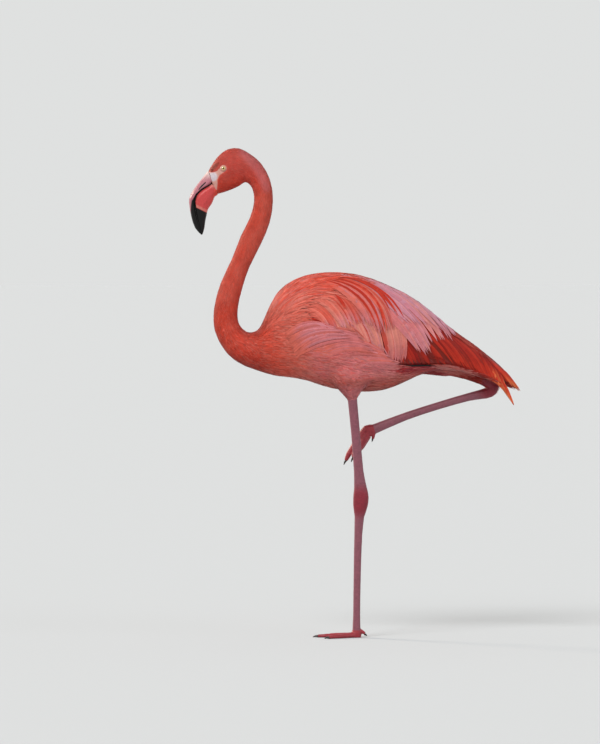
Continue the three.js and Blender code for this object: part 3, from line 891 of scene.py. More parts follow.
def feather_material():
    """Uneven barbs slant off the shaft as fine streaks, and every patch of plumage varies a little."""
    look = Look("feather", Roughness=0.6, Specular_IOR_Level=0.17, Sheen_Weight=0.05, Sheen_Roughness=0.5)
    weave = look.add("UVMap", uv_map="Weave").outputs[0]
    across, along, _ = look.add("SeparateXYZ", [(weave, 0)]).outputs
    spread = look.math("ABSOLUTE", across)
    slant = look.math("SUBTRACT", along, spread)
    ends = [(look.math("MULTIPLY", slant, BARBS), 0), (look.math("MULTIPLY", spread, BARB_CHANGE), 1)]
    barbs = look.noise(look.add("CombineXYZ", ends).outputs[0], 1, 2)
    cloud = look.between(look.noise(look.place(), 90, 3), 0.92, 1.1)
    look.paint(look.own_colour(), look.math("MULTIPLY", cloud, look.between(barbs, 0.86, 1.12)))
    look.emboss(barbs, 0.35, 0.3 * MM)
    return look.material


def skin_material():
    """Bare skin: fine scutes down the legs, with painted shade in the grooves between them, and a grain
    over the face.
    """
    look = Look("skin", Roughness=0.5, Specular_IOR_Level=0.4)
    scutes = look.add("UVMap", uv_map="Scutes").outputs[0]
    cells = look.add("TexVoronoi", [(scutes, "Vector")], feature="DISTANCE_TO_EDGE", Scale=1.0)
    # The scutes' edges are painted darker: painted shade in the grooves between them.
    edge = look.between(cells.outputs["Distance"], 0.86, 1.04, 0, 0.12)
    grain = look.between(look.noise(look.place(), 140, 4), 0.88, 1.1)
    look.paint(look.own_colour(), look.math("MULTIPLY", grain, edge))
    look.emboss(edge, 0.5, 0.6 * MM)
    return look.material


def bill_material():
    """Horn with a soft polish and a fine, uneven grain."""
    look = Look("bill", Roughness=0.36, Specular_IOR_Level=0.24)
    grain = look.noise(look.place(), 260, 5)
    look.paint(look.own_colour(), look.between(grain, 0.88, 1.1))
    look.emboss(grain, 0.2, 0.4 * MM)
    return look.material


def claw_material():
    """Dark horn, mottled."""
    look = Look("claw", Roughness=0.35, Specular_IOR_Level=0.5)
    grain = look.noise(look.place(), 300, 3)
    tone = look.ramp(grain, ((0, (18, 14, 14)), (1, (58, 46, 44))))
    look.tree.links.new(tone, look.shader["Base Color"])
    look.emboss(grain, 0.2, 0.3 * MM)
    return look.material


def eye_material():
    """A dark pupil in a pale yellow iris with a dark rim, by the distance from the eye's own axis."""
    look = Look("eye", Roughness=0.06, Specular_IOR_Level=0.6, Coat_Weight=0.6, Coat_Roughness=0.03)
    place = look.place()
    x, _, z = look.add("SeparateXYZ", [(place, 0)]).outputs
    flat = look.add("CombineXYZ", [(x, 0), (z, 2)])
    off = look.add("VectorMath", [(flat.outputs[0], 0)], operation="DISTANCE")
    off.inputs[1].default_value = (EYE_X, 0, EYE_Z)
    rings = (
        (0.27, (10, 8, 8)), (0.31, (168, 134, 74)), (0.5, (214, 190, 122)), (0.64, (190, 162, 98)),
        (0.72, (70, 40, 30)),
    )
    share = look.between(off.outputs["Value"], 0, 1, 0, 6 * MM)
    look.paint(look.ramp(share, rings), look.between(look.noise(place, 900, 2), 0.85, 1.15, 0, 1))
    return look.material


# ---- skin
DEEPEST = 0.36  # share of the body's thickness by which the skin may be drawn in
UNSEEN = 0.02  # thickness where none is found
SCUTES_ALONG, SCUTES_ROUND = 300, 1.3  # for each metre along a leg, and for each radian round it


def coat_depth(points, label):
    """How far the skin lies under the tips of the coat, worked out in mm and given in metres."""
    x, z = points[:, 0], points[:, 2]
    depth = mix(3.2, mix(5.0, 3.6, smooth(0.13, 0.2, x)), smooth(-0.10, -0.05, x) * smooth(0.545, 0.575, z))
    depth = mix(depth, 1.2, smooth(0.66, 0.74, z) * smooth(-0.16, -0.19, x))
    depth = mix(depth, 0.7, smooth(0.93, 0.96, z) * smooth(-0.21, -0.24, x))
    sock = belongs(label, ["thigh_left"])
    depth = np.where(sock, mix(1.4, depth, smooth(0.515, 0.545, z)), depth)
    depth = mix(depth, 0.3, smooth(0.001, -0.002, bare_face(points)) * (x < FACE_BACK))
    depth = np.maximum(depth, 0.5 * smooth(0.007, 0.001, outside(points, BILL_BASE)))
    depth[belongs(label, BARE)] = 0
    feathered = belongs(label, BARE) & ~bare_leg(points, label)
    depth = np.where(feathered, 1.2 * smooth(FEATHERED_TO, FEATHERED_TO - 0.01, x), depth)
    return depth * MM


def bare_colour(points, label, colour):
    """The colours with those of the legs, feet, lores and the skin round the eye laid over them."""
    legs = belongs(label, BARE)
    tone = colour.copy()
    tone[legs] = SHANK
    thinning = smooth(FEATHERED_TO - 0.012, FEATHERED_TO, points[:, 0]) * belongs(label, ["tibia_right"])
    tone = mix(tone, mix(colour, SHANK, thinning[:, None]), (legs & ~bare_leg(points, label))[:, None])
    for joint in (LEFT_JOINT, RIGHT_JOINT):
        near = smooth(0.046, 0.018, np.linalg.norm(points - np.array(joint), axis=1)) * legs
        tone = mix(tone, JOINT, near[:, None])
    tone[belongs(label, [name for name in BARE if name.startswith(("foot", "hallux"))])] = FOOT

    face = mix(FACE_PINK, LORE_GREY, smooth(0.012, 0.007, side_distance(points, *LORE_SPOT))[:, None])
    face = mix(face, LID, smooth(5.3 * MM, 4.6 * MM, side_distance(points, EYE_X, EYE_Z))[:, None])
    bare = smooth(0.0012, -0.0008, bare_face(points)) * (points[:, 0] < FACE_BACK) * (points[:, 2] > 0.9)
    return mix(tone, face, bare[:, None])


def shape_lids(points):
    """Fits the skin beside the eyes to the eyeballs, with a fold round each opening."""
    y = points[:, 1]
    off = side_distance(points, EYE_X, EYE_Z)
    ball = np.sqrt(np.maximum((EYE_RADIUS + 0.5 * MM) ** 2 - off**2, 0)) + EYE_Y
    lid = smooth(12 * MM, 5.5 * MM, off)
    fold = 0.2 * MM * np.cos(np.clip((off - 6.8 * MM) / (1.2 * MM), -1, 1) * np.pi / 2)
    hidden = smooth(LID_OPENING, LID_OPENING - 0.8 * MM, off)
    near = (np.abs(y) > 0.012) & (off < 0.014)
    lidded = np.sign(y) * (mix(np.abs(y), np.maximum(np.abs(y), ball), lid) + fold - 2.2 * MM * hidden)
    points[near, 1] = lidded[near]


def scute_map(points, label):
    """Places on the legs, unwrapped, on which a scute is about 1 across."""
    where = np.zeros((len(points), 2))
    for leg, line in ((LEFT_LEG, LEFT_LINE), (RIGHT_LEG, RIGHT_LINE)):
        own = belongs(label, leg)
        far, angle = along_line(points[own], line)
        where[own] = np.stack([far * SCUTES_ALONG, angle * SCUTES_ROUND], 1)
    return where


def build_skin(body):
    """The one skin of the bird: its outer form drawn in by the coat's depth, with lids round the eyes."""
    inward = -body.normals
    starts = body.points + inward * 0.2 * MM
    hits = [body.tree.ray_cast(p, d) for p, d in zip(starts.tolist(), inward.tolist())]
    through = np.array([h[3] if h[3] is not None else UNSEEN for h in hits])
    depth = np.minimum(coat_depth(body.points, body.label), DEEPEST * through)
    points = body.points + inward * depth[:, None]
    shape_lids(points)
    points[:, 2] = np.maximum(points[:, 2], 0.0)

    mesh = from_rows("skin", points, [body.triangles])
    colour_points(mesh, bare_colour(body.points, body.label, plumage(body.points, body.label)))
    add_map(mesh, "Scutes", scute_map(points, body.label)[body.triangles.ravel()])
    show("skin", mesh, skin_material(), FLESH)


# ---- eyes, bill and claws
BILL_PALE, BILL_PINK, BILL_STREAK = srgb(206, 180, 176), srgb(172, 108, 118), srgb(132, 80, 90)
BILL_RED, BILL_EMBER = srgb(192, 68, 68), srgb(196, 62, 44)
GAPE, BILL_BAND = srgb(200, 140, 130), srgb(208, 130, 118)
BLACK_TIP = (-0.3292, 0.9007)  # x and z on the slanting upper edge of the lower bill's black
CHIN_Z, CHIN_X = (0.87, 0.89, 0.92, 0.957), (-0.322, -0.322, -0.307, -0.300)  # the chin's front edge


def refined(names, voxel, rounds, swell=0.0):
    """The solids of these nodes run together, with their facets smoothed away."""
    return applied(joined_nodes(names, swell)[0], voxels(voxel), smoothing(rounds))


def build_eyes():
    material = eye_material()
    for word, side in (("left", -1), ("right", 1)):
        shape = bmesh.new()
        bmesh.ops.create_uvsphere(shape, u_segments=40, v_segments=28, radius=EYE_RADIUS)
        for v in shape.verts:
            v.co = Vector((v.co.x + EYE_X, side * (v.co.z + abs(EYE_Y)), v.co.y + EYE_Z))
        bmesh.ops.recalc_face_normals(shape, faces=shape.faces)
        mesh = bpy.data.meshes.new("eyeball_" + word)
        shape.to_mesh(mesh)
        show("eyeball_" + word, mesh, material, ["eye_" + word])


def upper_bill_colours(points):
    """Pale at the base, then pink with fine streaks, a black tip with a black line along the mouth that
    widens into it, and the nostril slit painted black as painted shade in its recess.
    """
    z = points[:, 2]
    from_mouth = outside(points, MOUTH)
    tone = mix(BILL_PALE, BILL_PINK, smooth(0.980, 0.958, z)[:, None])
    lines = 0.5 + 0.5 * np.sin(from_mouth / MM * 2.4 + 20 * points[:, 0])
    tone = mix(tone, BILL_STREAK, (0.35 * lines * smooth(0.965, 0.945, z))[:, None])
    wedge = smooth(1.2 * MM, -0.6 * MM, from_mouth - 9 * MM * smooth(0.938, 0.888, z))
    black = np.maximum(wedge, smooth(0.893, 0.885, z))
    # The nostril slit is painted black: painted shade in its recess.
    black = np.maximum(black, smooth(0.8 * MM, 0, outside(points, NOSTRIL)))
    return mix(tone, SOOT, black[:, None])


def lower_bill_colours(points):
    """Red, paler at the gape and in a band above the black tip."""
    x, z = points[:, 0], points[:, 2]
    chin = smooth(0.0, 0.010, x - np.interp(z, CHIN_Z, CHIN_X))
    tone = np.broadcast_to(BILL_RED, (len(points), 3))
    tone = mix(tone, BILL_EMBER, 0.8 * chin[:, None])
    tone = mix(tone, GAPE, smooth(0.940, 0.957, z + 0.3 * (x + 0.300))[:, None])
    above = (z - BLACK_TIP[1]) + 0.5 * (x - BLACK_TIP[0])
    tone = mix(tone, BILL_BAND, (0.6 * smooth(0.005, 0.001, np.abs(above - 0.003)))[:, None])
    black = np.maximum(smooth(0.0012, -0.0012, above), smooth(0.9 * MM, -0.3 * MM, outside(points, MOUTH)))
    return mix(tone, SOOT, black[:, None])


def build_bill():
    """The two halves, and a piece inside that fills the slit between them, painted black where it shows
    through the mouth line and the nostril, as painted shade inside them.
    """
    material = bill_material()
    for word, colours in (("upper", upper_bill_colours), ("lower", lower_bill_colours)):
        mesh = refined(["bill_" + word], 0.6 * MM, 40, 0.6 * MM)
        points = points_of(mesh)
        if word == "upper":
            slit = smooth(0.8 * MM, -0.2 * MM, outside(points, NOSTRIL))
            points -= normals_of(mesh) * (1.3 * MM * slit * (np.abs(points[:, 1]) > 5 * MM))[:, None]
            move_points(mesh, points)
        colour_points(mesh, colours(points))
        show("mandible_" + word, mesh, material, ["bill_" + word])

    mesh = refined(["bill_upper", "bill_lower"], 1.0 * MM, 10, 0.8 * MM)
    points = points_of(mesh) - normals_of(mesh) * 1.0 * MM
    rear = smooth(8 * MM, 0, outside(points, BILL_BASE))
    points[:, 0] += 5 * MM * rear
    points[:, 1] *= 1 - 0.08 * rear
    move_points(mesh, points)
    # Black near the mouth line and the nostril, fading to the lower bill's red: painted shade inside the
    # slit and the nostril.
    from_slit_shade = np.minimum(outside(points, MOUTH), outside(points, NOSTRIL))
    colour_points(mesh, mix(SOOT, lower_bill_colours(points), smooth(2 * MM, 5 * MM, from_slit_shade)[:, None]))
    show("lamellae", mesh, material)


def build_claws():
    """The claws, their roots drawn a little way into the toes."""
    material = claw_material()
    for name in [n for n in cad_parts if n.startswith("claw")]:
        mesh = refined([name], 0.5 * MM, 4)
        points = points_of(mesh)
        toes = np.array(LEFT_TOES if "left" in name else RIGHT_TOES)
        far = np.linalg.norm(points - toes, axis=1)
        root = smooth(far.min() + 4 * MM, far.min(), far)[:, None]
        points += 1.8 * MM * root * unit(toes - points.mean(0))
        points[:, 2] = np.maximum(points[:, 2], 0)
        move_points(mesh, points)
        show(name.replace("claw", "nail"), mesh, material, [name])


# ---- long feathers, row by row
# Stations along a long feather, and its half-width there as a share of the widest.
LONG = (0, 0.05, 0.12, 0.2, 0.3, 0.4, 0.5, 0.6, 0.7, 0.78, 0.85, 0.91, 0.96, 1)
LANCE = (0, 0.35, 0.55, 0.72, 0.88, 0.97, 1, 0.97, 0.88, 0.76, 0.6, 0.42, 0.2, 0)
BROAD = (0, 0.4, 0.62, 0.8, 0.93, 1, 1, 0.98, 0.94, 0.86, 0.74, 0.56, 0.3, 0)
PLUME = (0, 0.4, 0.7, 0.9, 1, 0.98, 0.9, 0.8, 0.68, 0.56, 0.44, 0.3, 0.15, 0)
SHINGLE = 0.09  # how far a long feather's edge stands up over the next, as a share of its half-width
COVERING = 0.85  # share of its half-width under which no small feather is laid
ROOT_STRAY, TIP_STRAY = 1.2, 2.2  # mm, how unevenly roots and tips are usually placed
SPLIT = 0.18  # chance of a split at each station
CAST_FROM = 0.2  # y, well outside the bird
ACROSS = 0.004  # how far past the middle plane a ray may still land on its own side
START_Y = 0.03  # y from which the surface is sought until it is first found
WING_FREE = 0.06  # how far from the body a wing's feather may hang free
TAIL_FREE = 0.012

# Rows of long feathers, those that lie deepest first. roots and tips are lines (x, z) in the side view,
# wide is the half-width and low and high the heights at root and tip in mm, and each vane's own tones
# lean towards one of the others by a random share. stray scales how unevenly the vanes are placed, and
# soft is how far their edges are shaded as if they turned away.
USUAL = dict(shape=LANCE, stray=1.0, soft=0.35)
ROWS = dict(
    secondaries=dict(
        count=36, roots=[(0.025, 0.664), (0.112, 0.655), (0.192, 0.636)],
        tips=[(0.080, 0.574), (0.165, 0.5725), (0.249, 0.558), (0.296, 0.535)],
        bow=0.05, wide=6.0, low=-4.8, high=-2.4, shape=BROAD, tones=(BLOOD, BLOOD, BLOOD),
        others=(BROWN, EMBER),
    ),
    primaries=dict(
        count=4, roots=[(0.058, 0.5735), (0.066, 0.5715)], tips=[(0.156, 0.5735), (0.174, 0.5722)],
        bow=0.0, wide=1.4, low=-1.4, high=0.1, tones=(SOOT, SOOT, SOOT), others=(SOOT,), stray=0.2,
    ),
    coverts=dict(
        count=36, roots=[(-0.095, 0.700), (-0.045, 0.730), (0.022, 0.730), (0.064, 0.712)],
        tips=[(-0.015, 0.610), (0.035, 0.584), (0.075, 0.578), (0.103, 0.588)],
        bow=0.09, wide=5.4, low=-3.7, high=-1.3, shape=BROAD, tones=(SALMON, SHELL, ROSE),
        others=(ROSE, MAUVE, SALMON, EMBER, SHELL),
    ),
    lesser_coverts=dict(
        count=38, roots=[(-0.112, 0.690), (-0.080, 0.733), (0.000, 0.745)],
        tips=[(-0.062, 0.645), (-0.010, 0.655), (0.045, 0.672)],
        bow=0.10, wide=3.6, low=-2.6, high=-0.8, tones=(SALMON, SALMON, MAUVE),
        others=(CORAL, EMBER, SHELL),
    ),
    scapulars=dict(
        count=30, roots=[(-0.050, 0.758), (0.015, 0.748), (0.085, 0.731)],
        tips=[(0.124, 0.606), (0.150, 0.597), (0.160, 0.622), (0.203, 0.629)],
        bow=0.08, wide=4.8, low=-2.3, high=-0.3, tones=(EMBER, ROSE, MAUVE), others=(SHELL, ROSE, MAUVE),
    ),
    upper_scapulars=dict(
        count=30, roots=[(-0.044, 0.769), (0.049, 0.756), (0.112, 0.728)],
        tips=[(0.112, 0.664), (0.176, 0.648), (0.212, 0.634)],
        bow=0.06, wide=4.4, low=-1.3, high=0.7, tones=(MAUVE, LILAC, LILAC), others=(SHELL, ROSE, MAUVE),
    ),
    shoulder_streaks=dict(
        count=26, roots=[(-0.104, 0.755), (-0.060, 0.758), (-0.022, 0.757)],
        tips=[(0.020, 0.664), (0.050, 0.640), (0.080, 0.650)],
        bow=0.15, wide=2.8, low=-0.4, high=0.5, tones=(CORAL, SALMON, ROSE), others=(SHELL, MAUVE, EMBER),
    ),
    red_band=dict(
        count=5, roots=[(-0.066, 0.751), (-0.042, 0.756)], tips=[(0.040, 0.656), (0.062, 0.646)],
        bow=0.17, wide=2.6, low=0.6, high=1.2, tones=(EMBER, EMBER, FLAME), others=(BLOOD, CORAL),
    ),
    red_band_rear=dict(
        count=5, roots=[(-0.038, 0.757), (-0.012, 0.757)], tips=[(0.074, 0.688), (0.094, 0.674)],
        bow=0.14, wide=2.4, low=0.6, high=1.3, tones=(EMBER, EMBER, EMBER), others=(FLAME, CORAL),
    ),
    orange_patch=dict(
        count=2, roots=[(-0.046, 0.724), (-0.042, 0.722)], tips=[(-0.026, 0.694), (-0.022, 0.692)],
        bow=0.05, wide=2.0, low=0.2, high=0.6, tones=(EMBER, EMBER, CORAL), others=(FLAME,), stray=0.3,
    ),
)
SIDE = dict(tones=(SALMON, ROSE, ROSE), soft=0.2)
SIDE_ROWS = dict(
    rear=dict(
        count=34, roots=[(-0.055, 0.632), (-0.026, 0.560)], tips=[(0.048, 0.606), (0.090, 0.574)],
        bow=0.07, wide=3.0, low=-1.8, high=0.3, others=(MAUVE, SALMON, SHELL), **SIDE,
    ),
    middle=dict(
        count=32, roots=[(-0.106, 0.634), (-0.080, 0.576)], tips=[(-0.002, 0.641), (0.043, 0.598)],
        bow=0.11, wide=3.0, low=-1.2, high=1.0, others=(MAUVE, SALMON), **SIDE,
    ),
    front=dict(
        count=30, roots=[(-0.150, 0.640), (-0.131, 0.588)], tips=[(-0.047, 0.655), (-0.009, 0.632)],
        bow=0.13, wide=2.8, low=-0.4, high=1.7, others=(MAUVE, SALMON), **SIDE,
    ),
    shoulder_gap=dict(
        count=3, roots=[(-0.096, 0.674), (-0.094, 0.668)], tips=[(-0.062, 0.657), (-0.060, 0.652)],
        bow=0.02, wide=1.8, low=-0.4, high=1.6, tones=(EMBER, BLOOD, EMBER), others=(BLOOD,), stray=0.2,
    ),
)
TAIL_END = dict(shape=PLUME, tones=(BLOOD, EMBER, TIP), others=(FLAME, TIP))
TAIL_ROWS = dict(
    plumes=dict(
        count=36, roots=[(0.110, 0.676), (0.165, 0.664), (0.238, 0.626)],
        tips=[(0.205, 0.578), (0.259, 0.556), (0.316, 0.519)],
        bow=0.04, wide=3.4, low=-3.2, high=-0.4, tones=(BLOOD, BLOOD, EMBER),
        others=(EMBER, BROWN, FLAME, EMBER),
    ),
    tips=dict(
        count=9, roots=[(0.255, 0.603), (0.290, 0.575)], tips=[(0.297, 0.515), (0.333, 0.484)],
        bow=0.02, wide=3.2, low=-1.0, high=0.5, **TAIL_END,
    ),
    long_tips=dict(
        count=4, roots=[(0.262, 0.600), (0.280, 0.594)], tips=[(0.332, 0.527), (0.348, 0.516)],
        bow=0.03, wide=3.4, low=-0.5, high=0.5, **TAIL_END,
    ),
)


def curve(points, share):
    """Places at shares from 0 to 1 along a smooth curve through a few points."""
    points = np.array(points, float)
    if len(points) == 2:
        return mix(points[0], points[1], share[:, None])
    first, last = 2 * points[0] - points[1], 2 * points[-1] - points[-2]
    p = np.vstack([first, points, last])
    at = np.clip(share, 0, 1) * (len(points) - 1)
    i = np.minimum(at.astype(int), len(points) - 2)
    t = (at - i)[:, None]
    a, b, c, d = p[i], p[i + 1], p[i + 2], p[i + 3]
    return 0.5 * (2 * b + (c - a) * t + (2 * a - 5 * b + 4 * c - d) * t**2 + (3 * b - a - 3 * c + d) * t**3)


def side_spines(surface, roots, tips, bend, side, stations, free):
    """Spines drawn in the side view from roots to tips, bowed by a share of their length, on one side.

    A place off the outline goes to the nearest point of the surface, or hangs free when that lies farther
    than free.
    """
    along = tips - roots
    bow = np.stack([along[:, 1], -along[:, 0]], 1) * -bend
    t = np.array(stations)[None, :, None]
    flat = roots[:, None] * (1 - t) + tips[:, None] * t + bow[:, None] * 4 * t * (1 - t)
    places, faces, on = [], [], []
    for row in flat.tolist():
        y = side * START_Y
        for x, z in row:
            place, _, face, _ = surface.tree.ray_cast((x, side * CAST_FROM, z), (0, -side, 0))
            held = place is not None and place.y * side >= -ACROSS
            if not held:
                place, _, face, far = surface.tree.find_nearest((x, y, z))
                held = far < free
                place = place if held else Vector((x, y, z))
            y = place.y
            places.append(place)
            faces.append(face)
            on.append(held)
    places = np.array(places)
    spine = places.reshape(len(roots), -1, 3)
    normals = surface.normals_at(places, np.array(faces)).reshape(spine.shape)
    on = np.array(on).reshape(len(roots), -1)
    for k in range(1, len(stations)):
        normals[:, k] = np.where(on[:, k : k + 1], normals[:, k], normals[:, k - 1])
    for _ in range(2):
        spine[:, 1:-1, 1] = eased(spine[..., 1]) / 4
        normals[:, 1:-1] = unit(eased(normals))
    return spine, normals


def ragged(wide, tear=0.12):
    """Half-widths with a few splits in the outer part of the vane."""
    vanes, count = wide.shape
    t = np.linspace(0, 1, count)[None]
    split = (rng.random((vanes, count)) < SPLIT) * smooth(0.35, 0.7, t)
    return wide * (1 - tear * split) * (1 + rng.normal(0, 0.03, wide.shape))


def add_row(coat, surface, row, side, free):
    """Adds one row on one side, and gives the places that it covers with the reach of each."""
    count = row["count"]
    t = np.array(LONG)
    share = (np.arange(count) + rng.uniform(-0.3, 0.3, count)) / (count - 1)
    stray = row["stray"] * MM
    roots = curve(row["roots"], share) + rng.normal(0, ROOT_STRAY * stray, (count, 2))
    tips = curve(row["tips"], share) + rng.normal(0, TIP_STRAY * stray, (count, 2))
    bend = row["bow"] * (1 + rng.normal(0, 0.15, count))[:, None]
    spine, normals = side_spines(surface, roots, tips, bend, side, LONG, free)
    wide = row["wide"] * MM * (1 + rng.normal(0, 0.12, count))[:, None] * np.array(row["shape"])
    height = (mix(row["low"], row["high"], t)[None] + rng.normal(0, 0.05, (count, 1)) * t[None]) * MM
    add_vanes(
        coat, surface, spine, normals, LONG, ragged(wide), ragged(wide), height,
        skin_map(spine[:, 0], np.full(count, FLESH.index("trunk"))),
        three_tones(row["tones"], row["others"], count, LONG), crown=0.035, thick=0.2 * MM,
        columns=(-1, -0.6, -0.25, 0, 0.25, 0.6, 1), hug=True, softness=row["soft"], tilt=-side * SHINGLE,
    )
    return np.concatenate([spine, COVERING * wide[..., None]], 2)[:, 1:-1].reshape(-1, 4)


def add_rows(coat, surface, rows, free):
    """Adds these rows on both sides, and gives the places that they cover with the reach of each."""
    rows = [{**USUAL, **row} for row in rows.values()]
    return np.concatenate([add_row(coat, surface, row, side, free) for row in rows for side in (-1, 1)])


def three_tones(tones, others, count, stations):
    """Colours that run from root to middle to tip, with a paler edge and a lean of each vane's own."""
    t = np.asarray(stations)[None, :, None, None]
    own = 1 + rng.normal(0, 0.06, (count, 1, 1, 1))
    lean = rng.random((count, 1, 1, 1)) ** 1.5 * 0.8
    other = np.array(others)[rng.integers(0, len(others), count)][:, None, None]
    start = rng.uniform(0.18, 0.42, (count, 1, 1, 1))

    def shades(columns):
        s = np.abs(columns)[None, None, :, None]
        tone = mix(tones[0], tones[1], smooth(start - 0.15, start + 0.15, t))
        tone = mix(tone, tones[2], smooth(0.6, 1.0, t))
        tone = mix(tone, other, lean * smooth(0.1, 0.5, t))
        tone = tone * mix(0.94, 1.1, smooth(0.2, 1.0, s)) * own
        return np.clip(tone, 0, 1)

    return shades


# ---- small feathers
TUFT = dict(stations=(0, 0.45, 0.8, 1), shape=(0, 1, 0.75, 0), columns=(-1, 1), crown=0.0)
LOCK = dict(
    stations=(0, 0.15, 0.4, 0.65, 0.85, 1), shape=(0, 0.6, 0.95, 0.9, 0.55, 0), crown=0.06, hug=True,
)
MANTLE = dict(
    stations=(0, 0.1, 0.25, 0.4, 0.55, 0.7, 0.85, 1), shape=(0, 0.7, 1, 1, 0.9, 0.75, 0.5, 0), crown=0.06,
    thick=0.2 * MM, sway=0.1, edge=1.1, vary=0.10, others=(FLAME, EMBER, SHELL, ROSE), lean=0.75,
)
ROOT_SHADE, TIP_SHADE = 0.94, 1.06
X, Z = 0, 2
NECK_PARTED = 0.80  # z at which the neck's coat is divided into two pieces
SOCK_TOP = 0.545  # z below which the thighs wear short feathers
RIGHT_SOCK_TOP = 0.56
COAT_END = 0.300  # x behind which only the tail's long feathers lie


def tinted(base, others, stations, vary, edge, lean):
    """Shades of vanes: base, leaning by a random share towards one of the others, darker at the root."""
    vanes = len(base)
    own = 1 + rng.normal(0, vary, (vanes, 1, 1, 1))
    share = lean * rng.random((vanes, 1)) ** 1.5
    base = mix(base, np.array(others)[rng.integers(0, len(others), vanes)], share)
    t = np.asarray(stations)[None, :, None, None]

    def shades(columns):
        s = np.abs(columns)[None, None, :, None]
        tone = base[:, None, None, :] * mix(ROOT_SHADE, TIP_SHADE, t)
        return np.clip(tone * own * mix(1.0, edge, s), 0, 1)

    return shades


def beneath(covered, places):
    """Which places lie under the long feathers."""
    tree = KDTree(len(covered))
    for n, row in enumerate(covered.tolist()):
        tree.insert(row[:3], n)
    tree.balance()
    reach = covered[:, 3].tolist()
    widest = max(reach)
    found = [any(d < reach[n] for _, n, d in tree.find_range(p, widest)) for p in places.tolist()]
    return np.array(found) | (outside(places, WING_EDGE) < 0)


def only(wanted, *arrays):
    return [array[wanted] for array in arrays]


def sized(value, places):
    """A size in mm, given as a number or as a function of places, in metres at each place."""
    return (value(places) if callable(value) else np.full(len(places), float(value))) * MM


def scatter(coat, surface, wanted, spacing, length, half_width, low, high, stations, shape, crown,
            columns=(-1, 0, 1), hug=False, thick=0.25 * MM, sway=0.12, under=None,
            edge=1.0, vary=0.07, others=(SHELL, FLAME), lean=0.3):
    """Covers the wanted triangles with vanes.

    spacing, length, half_width, low and high (heights at root and tip) are in mm, each a number or a
    function of places. under holds places and reaches of long feathers, where no vane is laid. sway is
    how far they are swung, in radians, and vary how much one is lighter or darker than the next.
    """
    roots, faces = spread_roots(surface, wanted, sized(spacing, surface.middle))
    if under is not None:
        roots, faces = only(~beneath(under, roots), roots, faces)
    turn = rng.normal(0, sway, len(roots))
    long = sized(length, roots) * (1 + rng.normal(0, 0.12, len(roots)))
    spine, normals = follow(surface, roots, long, stations, turn)
    if under is not None:
        for station in range(len(stations) - 1, 0, -2):
            clear = ~beneath(under, spine[:, station])
            roots, faces, spine, normals = only(clear, roots, faces, spine, normals)
    wide = sized(half_width, roots)[:, None] * np.array(shape)[None]
    wide = wide * (1 + rng.normal(0, 0.06, wide.shape))
    t = np.array(stations)[None]
    height = mix(sized(low, roots)[:, None], sized(high, roots)[:, None], t**0.85)
    height = height + rng.normal(0, 0.15 * MM, (len(roots), 1)) * t
    label = surface.owner[faces]
    colour = tinted(plumage(roots, label), others, stations, vary, edge, lean)
    add_vanes(coat, surface, spine, normals, stations, wide, wide, height, skin_map(roots, label), colour,
              crown, thick, columns, hug)


def cover(name, slot, material, surface, wanted, **look):
    """A piece of the coat that covers the wanted triangles."""
    coat = Coat(name, slot)
    scatter(coat, surface, wanted, **look)
    coat.finish(material)


def changing(axis, start, end):
    """Makes sizes that go from a first value at start to a last one at end of an axis."""
    return lambda first, last: lambda p: mix(first, last, smooth(start, end, p[:, axis]))


def coat_head_and_neck(surface, material):
    by_face, by_height = changing(X, -0.30, -0.23), changing(Z, 0.76, 0.62)
    x, y, z = surface.middle.T
    clear_eye = (side_distance(surface.middle, EYE_X, EYE_Z) > 7.5 * MM) | (np.abs(y) < 10 * MM)
    feathered = (bare_face(surface.middle) > 0.4 * MM) | (x > FACE_BACK)
    cover(
        "coat_head", "plumage_neck", material, surface,
        belongs(surface.owner, ["head"]) & feathered & clear_eye,
        spacing=1.2, length=by_face(3.6, 7.5), half_width=0.45, low=-0.55, high=0.0,
        vary=0.06, lean=0.22, thick=0.12 * MM, **TUFT,
    )
    neck = belongs(surface.owner, ["neck_upper", "neck_middle", "neck_lower"])
    for word, part in (("upper", z > NECK_PARTED), ("lower", z <= NECK_PARTED)):
        cover(
            "coat_neck_" + word, "plumage_neck", material, surface, neck & part,
            spacing=changing(Z, 0.74, 0.62)(1.35, 2.0), length=by_height(8.5, 15.0),
            half_width=by_height(0.55, 1.0), low=changing(Z, 0.74, 0.66)(-0.9, -1.6), high=0.0,
            lean=0.25, thick=0.15 * MM, **TUFT,
        )


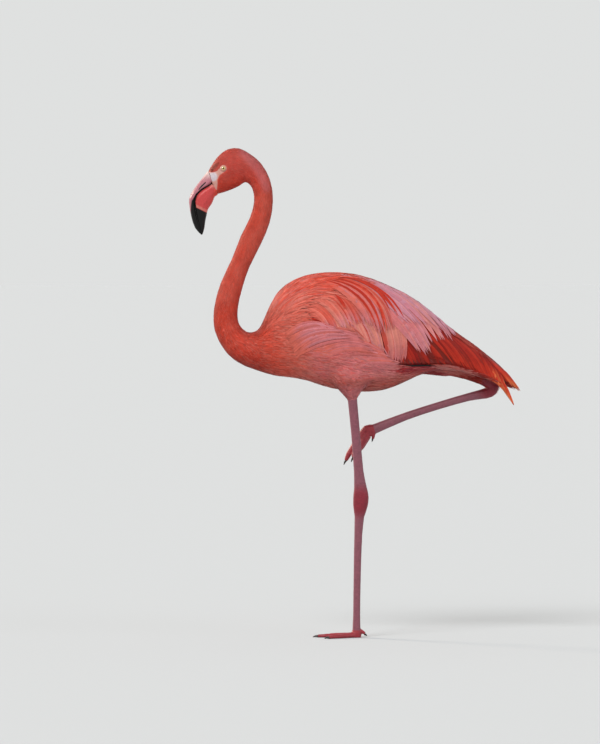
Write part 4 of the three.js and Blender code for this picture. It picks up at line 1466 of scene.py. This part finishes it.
def coat_wings_and_tail(surface, material):
    """The rows of long feathers; gives the places that they cover with the reach of each."""
    wings = Coat("coat_wings", "plumage_wing")
    covered = add_rows(wings, surface, ROWS, WING_FREE)
    add_rows(wings, surface, SIDE_ROWS, WING_FREE)
    wings.finish(material)
    tail = Coat("coat_tail", "plumage_tail")
    covered = np.concatenate([covered, add_rows(tail, surface, TAIL_ROWS, TAIL_FREE)])
    tail.finish(material)
    return covered


def coat_body(surface, material, covered):
    x, y, z = surface.middle.T
    wanted = belongs(surface.owner, ["trunk", "wing_left", "wing_right", "tail"])
    wanted |= belongs(surface.owner, THIGHS) & (z > SOCK_TOP)
    wanted &= x < COAT_END
    by_place = changing(X, -0.24, -0.10)
    for word, part in (("left", y < 0), ("right", y >= 0)):
        cover(
            "coat_body_" + word, "plumage_body", material, surface, wanted & part,
            spacing=by_place(2.6, 3.6), length=by_place(15, 34), half_width=by_place(1.5, 2.8),
            low=-2.6, high=-0.7, edge=1.08, under=covered, **LOCK,
        )
    cover(
        "coat_wisps", "plumage_body", material, surface, wanted,
        spacing=by_place(2.6, 4.2), length=by_place(14, 36), half_width=by_place(0.6, 1.2),
        low=-1.5, high=-0.4, vary=0.08, sway=0.13, lean=0.45, thick=0.18 * MM, under=covered, **TUFT,
    )
    upper_back = (z > 0.685) & (x + 1.5 * (z - 0.74) < -0.02)
    cover(
        "coat_mantle", "plumage_body", material, surface, wanted & upper_back,
        spacing=4.0, length=56, half_width=1.8, low=-1.4, high=0.1, under=covered, **MANTLE,
    )


def coat_thighs(surface, material):
    x, _, z = surface.middle.T
    socks = belongs(surface.owner, ["thigh_left"]) & (z < SOCK_TOP)
    socks |= belongs(surface.owner, ["thigh_right"]) & (z < RIGHT_SOCK_TOP)
    socks |= belongs(surface.owner, ["tibia_right"]) & (x < FEATHERED_TO)
    cover(
        "coat_thigh", "plumage_body", material, surface, socks,
        spacing=1.7, length=changing(X, 0.15, 0.2)(10, 18), half_width=0.8, low=-1.0, high=0.1,
        thick=0.15 * MM, **TUFT,
    )


# ---- building it all
body = Surface(outline_mesh())
build_skin(body)
build_eyes()
build_bill()
build_claws()
feathers = feather_material()
coat_head_and_neck(body, feathers)
coat_body(body, feathers, coat_wings_and_tail(body, feathers))
coat_thighs(body, feathers)
